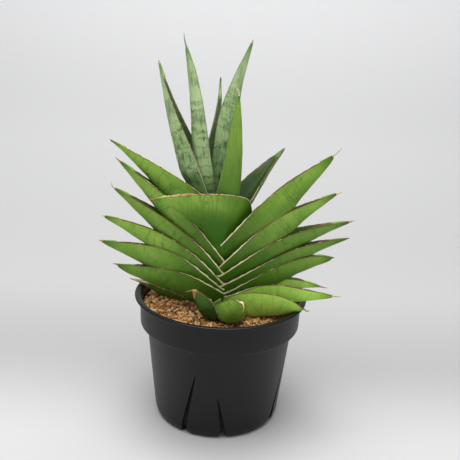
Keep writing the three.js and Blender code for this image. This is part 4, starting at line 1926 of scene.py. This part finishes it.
def icosphere(detail: int) -> tuple[np.ndarray, np.ndarray]:
    """Gives the points and the triangles of a unit ball.

    Args:
        detail: How often its 20 faces are divided.

    Returns:
        The points and the triangles.
    """
    golden = (1 + math.sqrt(5)) / 2
    points = [(-1, golden, 0), (1, golden, 0), (-1, -golden, 0), (1, -golden, 0),
              (0, -1, golden), (0, 1, golden), (0, -1, -golden), (0, 1, -golden),
              (golden, 0, -1), (golden, 0, 1), (-golden, 0, -1), (-golden, 0, 1)]
    points = [np.array(point) / np.linalg.norm(point) for point in points]
    faces = [(0, 11, 5), (0, 5, 1), (0, 1, 7), (0, 7, 10), (0, 10, 11), (1, 5, 9), (5, 11, 4),
             (11, 10, 2), (10, 7, 6), (7, 1, 8), (3, 9, 4), (3, 4, 2), (3, 2, 6), (3, 6, 8),
             (3, 8, 9), (4, 9, 5), (2, 4, 11), (6, 2, 10), (8, 6, 7), (9, 8, 1)]
    for _ in range(detail):
        halves: dict[tuple[int, int], int] = {}
        finer = []
        for a, b, c in faces:
            middles = []
            for edge in ((a, b), (b, c), (c, a)):
                key = (min(edge), max(edge))
                if key not in halves:
                    halves[key] = len(points)
                    middle = points[key[0]] + points[key[1]]
                    points.append(middle / np.linalg.norm(middle))
                middles.append(halves[key])
            ab, bc, ca = middles
            finer += [(a, ab, ca), (b, bc, ab), (c, ca, bc), (ab, bc, ca)]
        faces = finer
    return np.array(points), np.array(faces)


def random_turns(count: int, rng: np.random.Generator) -> np.ndarray:
    """Gives random rotations.

    Args:
        count: How many.
        rng: Their source.

    Returns:
        One 3 by 3 matrix each.
    """
    draws = rng.normal(size=(count, 4))
    w, x, y, z = (draws / np.linalg.norm(draws, axis=1, keepdims=True)).T
    return np.stack([
        np.stack([1 - 2 * (y * y + z * z), 2 * (x * y - z * w), 2 * (x * z + y * w)], axis=1),
        np.stack([2 * (x * y + z * w), 1 - 2 * (x * x + z * z), 2 * (y * z - x * w)], axis=1),
        np.stack([2 * (x * z - y * w), 2 * (y * z + x * w), 1 - 2 * (x * x + y * y)], axis=1),
    ], axis=1)


@dataclass(frozen=True)
class Lamp:
    """One square lamp: where it hangs and what it faces, its side, in metres, and its watts."""

    name: str
    place: tuple[float, float, float]
    aim: tuple[float, float, float]
    size: float
    power: float

    def hang(self) -> None:
        """Puts the lamp into the scene."""
        place = Vector(self.place)
        data = bpy.data.lights.new(self.name, "AREA")
        data.size = self.size
        data.energy = self.power
        made = bpy.data.objects.new(self.name, data)
        made.location = place
        made.rotation_euler = (Vector(self.aim) - place).to_track_quat("-Z", "Y").to_euler()
        bpy.context.scene.collection.objects.link(made)


PLANT_MIDDLE = (0, 0, 0.14)
LAMPS = (
    Lamp("key", (-0.15, -0.22, 1.6), PLANT_MIDDLE, 1.3, 22.0),
    Lamp("fill", (0.6, -1.2, 0.9), PLANT_MIDDLE, 1.0, 1.5),
    Lamp("wash", (0, 0.7, 2.4), (0, 2.2, 0.5), 1.6, 22.0),
)


@dataclass
class Studio:
    """The plain pale floor that sweeps up behind, the soft light and the camera, in metres."""

    half_width: float = 6.0
    front: float = -4.0
    bend_start: float = 1.0
    bend_radius: float = 1.2
    wall_top: float = 5.0
    bend_steps: int = 24
    sky: Colour = (0.97, 0.98, 1.0)
    sky_strength: float = 0.42

    def build(self) -> None:
        """Sets the floor, the light and the camera."""
        self.build_floor()
        self.build_light()
        self.build_camera()
        log.info("studio built")

    def build_floor(self) -> None:
        """Lays the floor at the height that the pot stands on, and bends it up behind the plant."""
        angles = np.linspace(0, math.pi / 2, self.bend_steps)
        bent = np.stack([self.bend_start + self.bend_radius * np.sin(angles),
                         self.bend_radius * (1 - np.cos(angles))], axis=1)
        outline = [(self.front, 0.0), *bent.tolist(), (self.bend_start + self.bend_radius, self.wall_top)]
        points = [(side * self.half_width, y, z) for y, z in outline for side in (-1, 1)]
        faces = [[2 * i, 2 * i + 1, 2 * i + 3, 2 * i + 2] for i in range(len(outline) - 1)]
        floor = add_mesh("floor", np.array(points), faces)
        floor.data.materials.append(PaleFloor().material())

    def build_light(self) -> None:
        """Adds an even sky, two large soft lamps for the plant and one for the background."""
        scene = bpy.context.scene
        scene.view_settings.view_transform = "Standard"
        world = bpy.data.worlds.new("sky")
        world.use_nodes = True
        sky = world.node_tree.nodes["Background"]
        sky.inputs["Color"].default_value = (*self.sky, 1.0)
        sky.inputs["Strength"].default_value = self.sky_strength
        scene.world = world
        for lamp in LAMPS:
            lamp.hang()

    @staticmethod
    def build_camera() -> None:
        """Sets the camera in front of the fan, above its middle."""
        lift = math.radians(CAMERA_ELEVATION)
        roll = math.radians(CAMERA_ROLL)
        back = Vector((0, -math.cos(lift), math.sin(lift)))
        right = Vector((1, 0, 0))
        up = back.cross(right)
        rolled_right = math.cos(roll) * right + math.sin(roll) * up
        rolled_up = math.cos(roll) * up - math.sin(roll) * right
        data = bpy.data.cameras.new("camera")
        data.lens = CAMERA_LENS
        data.clip_end = CAMERA_REACH
        made = bpy.data.objects.new("camera", data)
        axes = Matrix((rolled_right, rolled_up, back)).transposed().to_4x4()
        made.matrix_world = Matrix.Translation(Vector(CAMERA_AIM) + CAMERA_DISTANCE * back) @ axes
        bpy.context.scene.collection.objects.link(made)
        bpy.context.scene.camera = made


def main() -> None:
    """Builds the plant, the pot, the soil and the studio, in that order."""
    logging.basicConfig(level=logging.INFO, format="%(message)s")
    plant = Plant()
    leaves = plant.build()
    plant.dress_stem()
    pot = Pot()
    pot.dress(pot.build())
    Soil().build(pot, leaves)
    Studio().build()


if __name__ == "__main__":
    main()
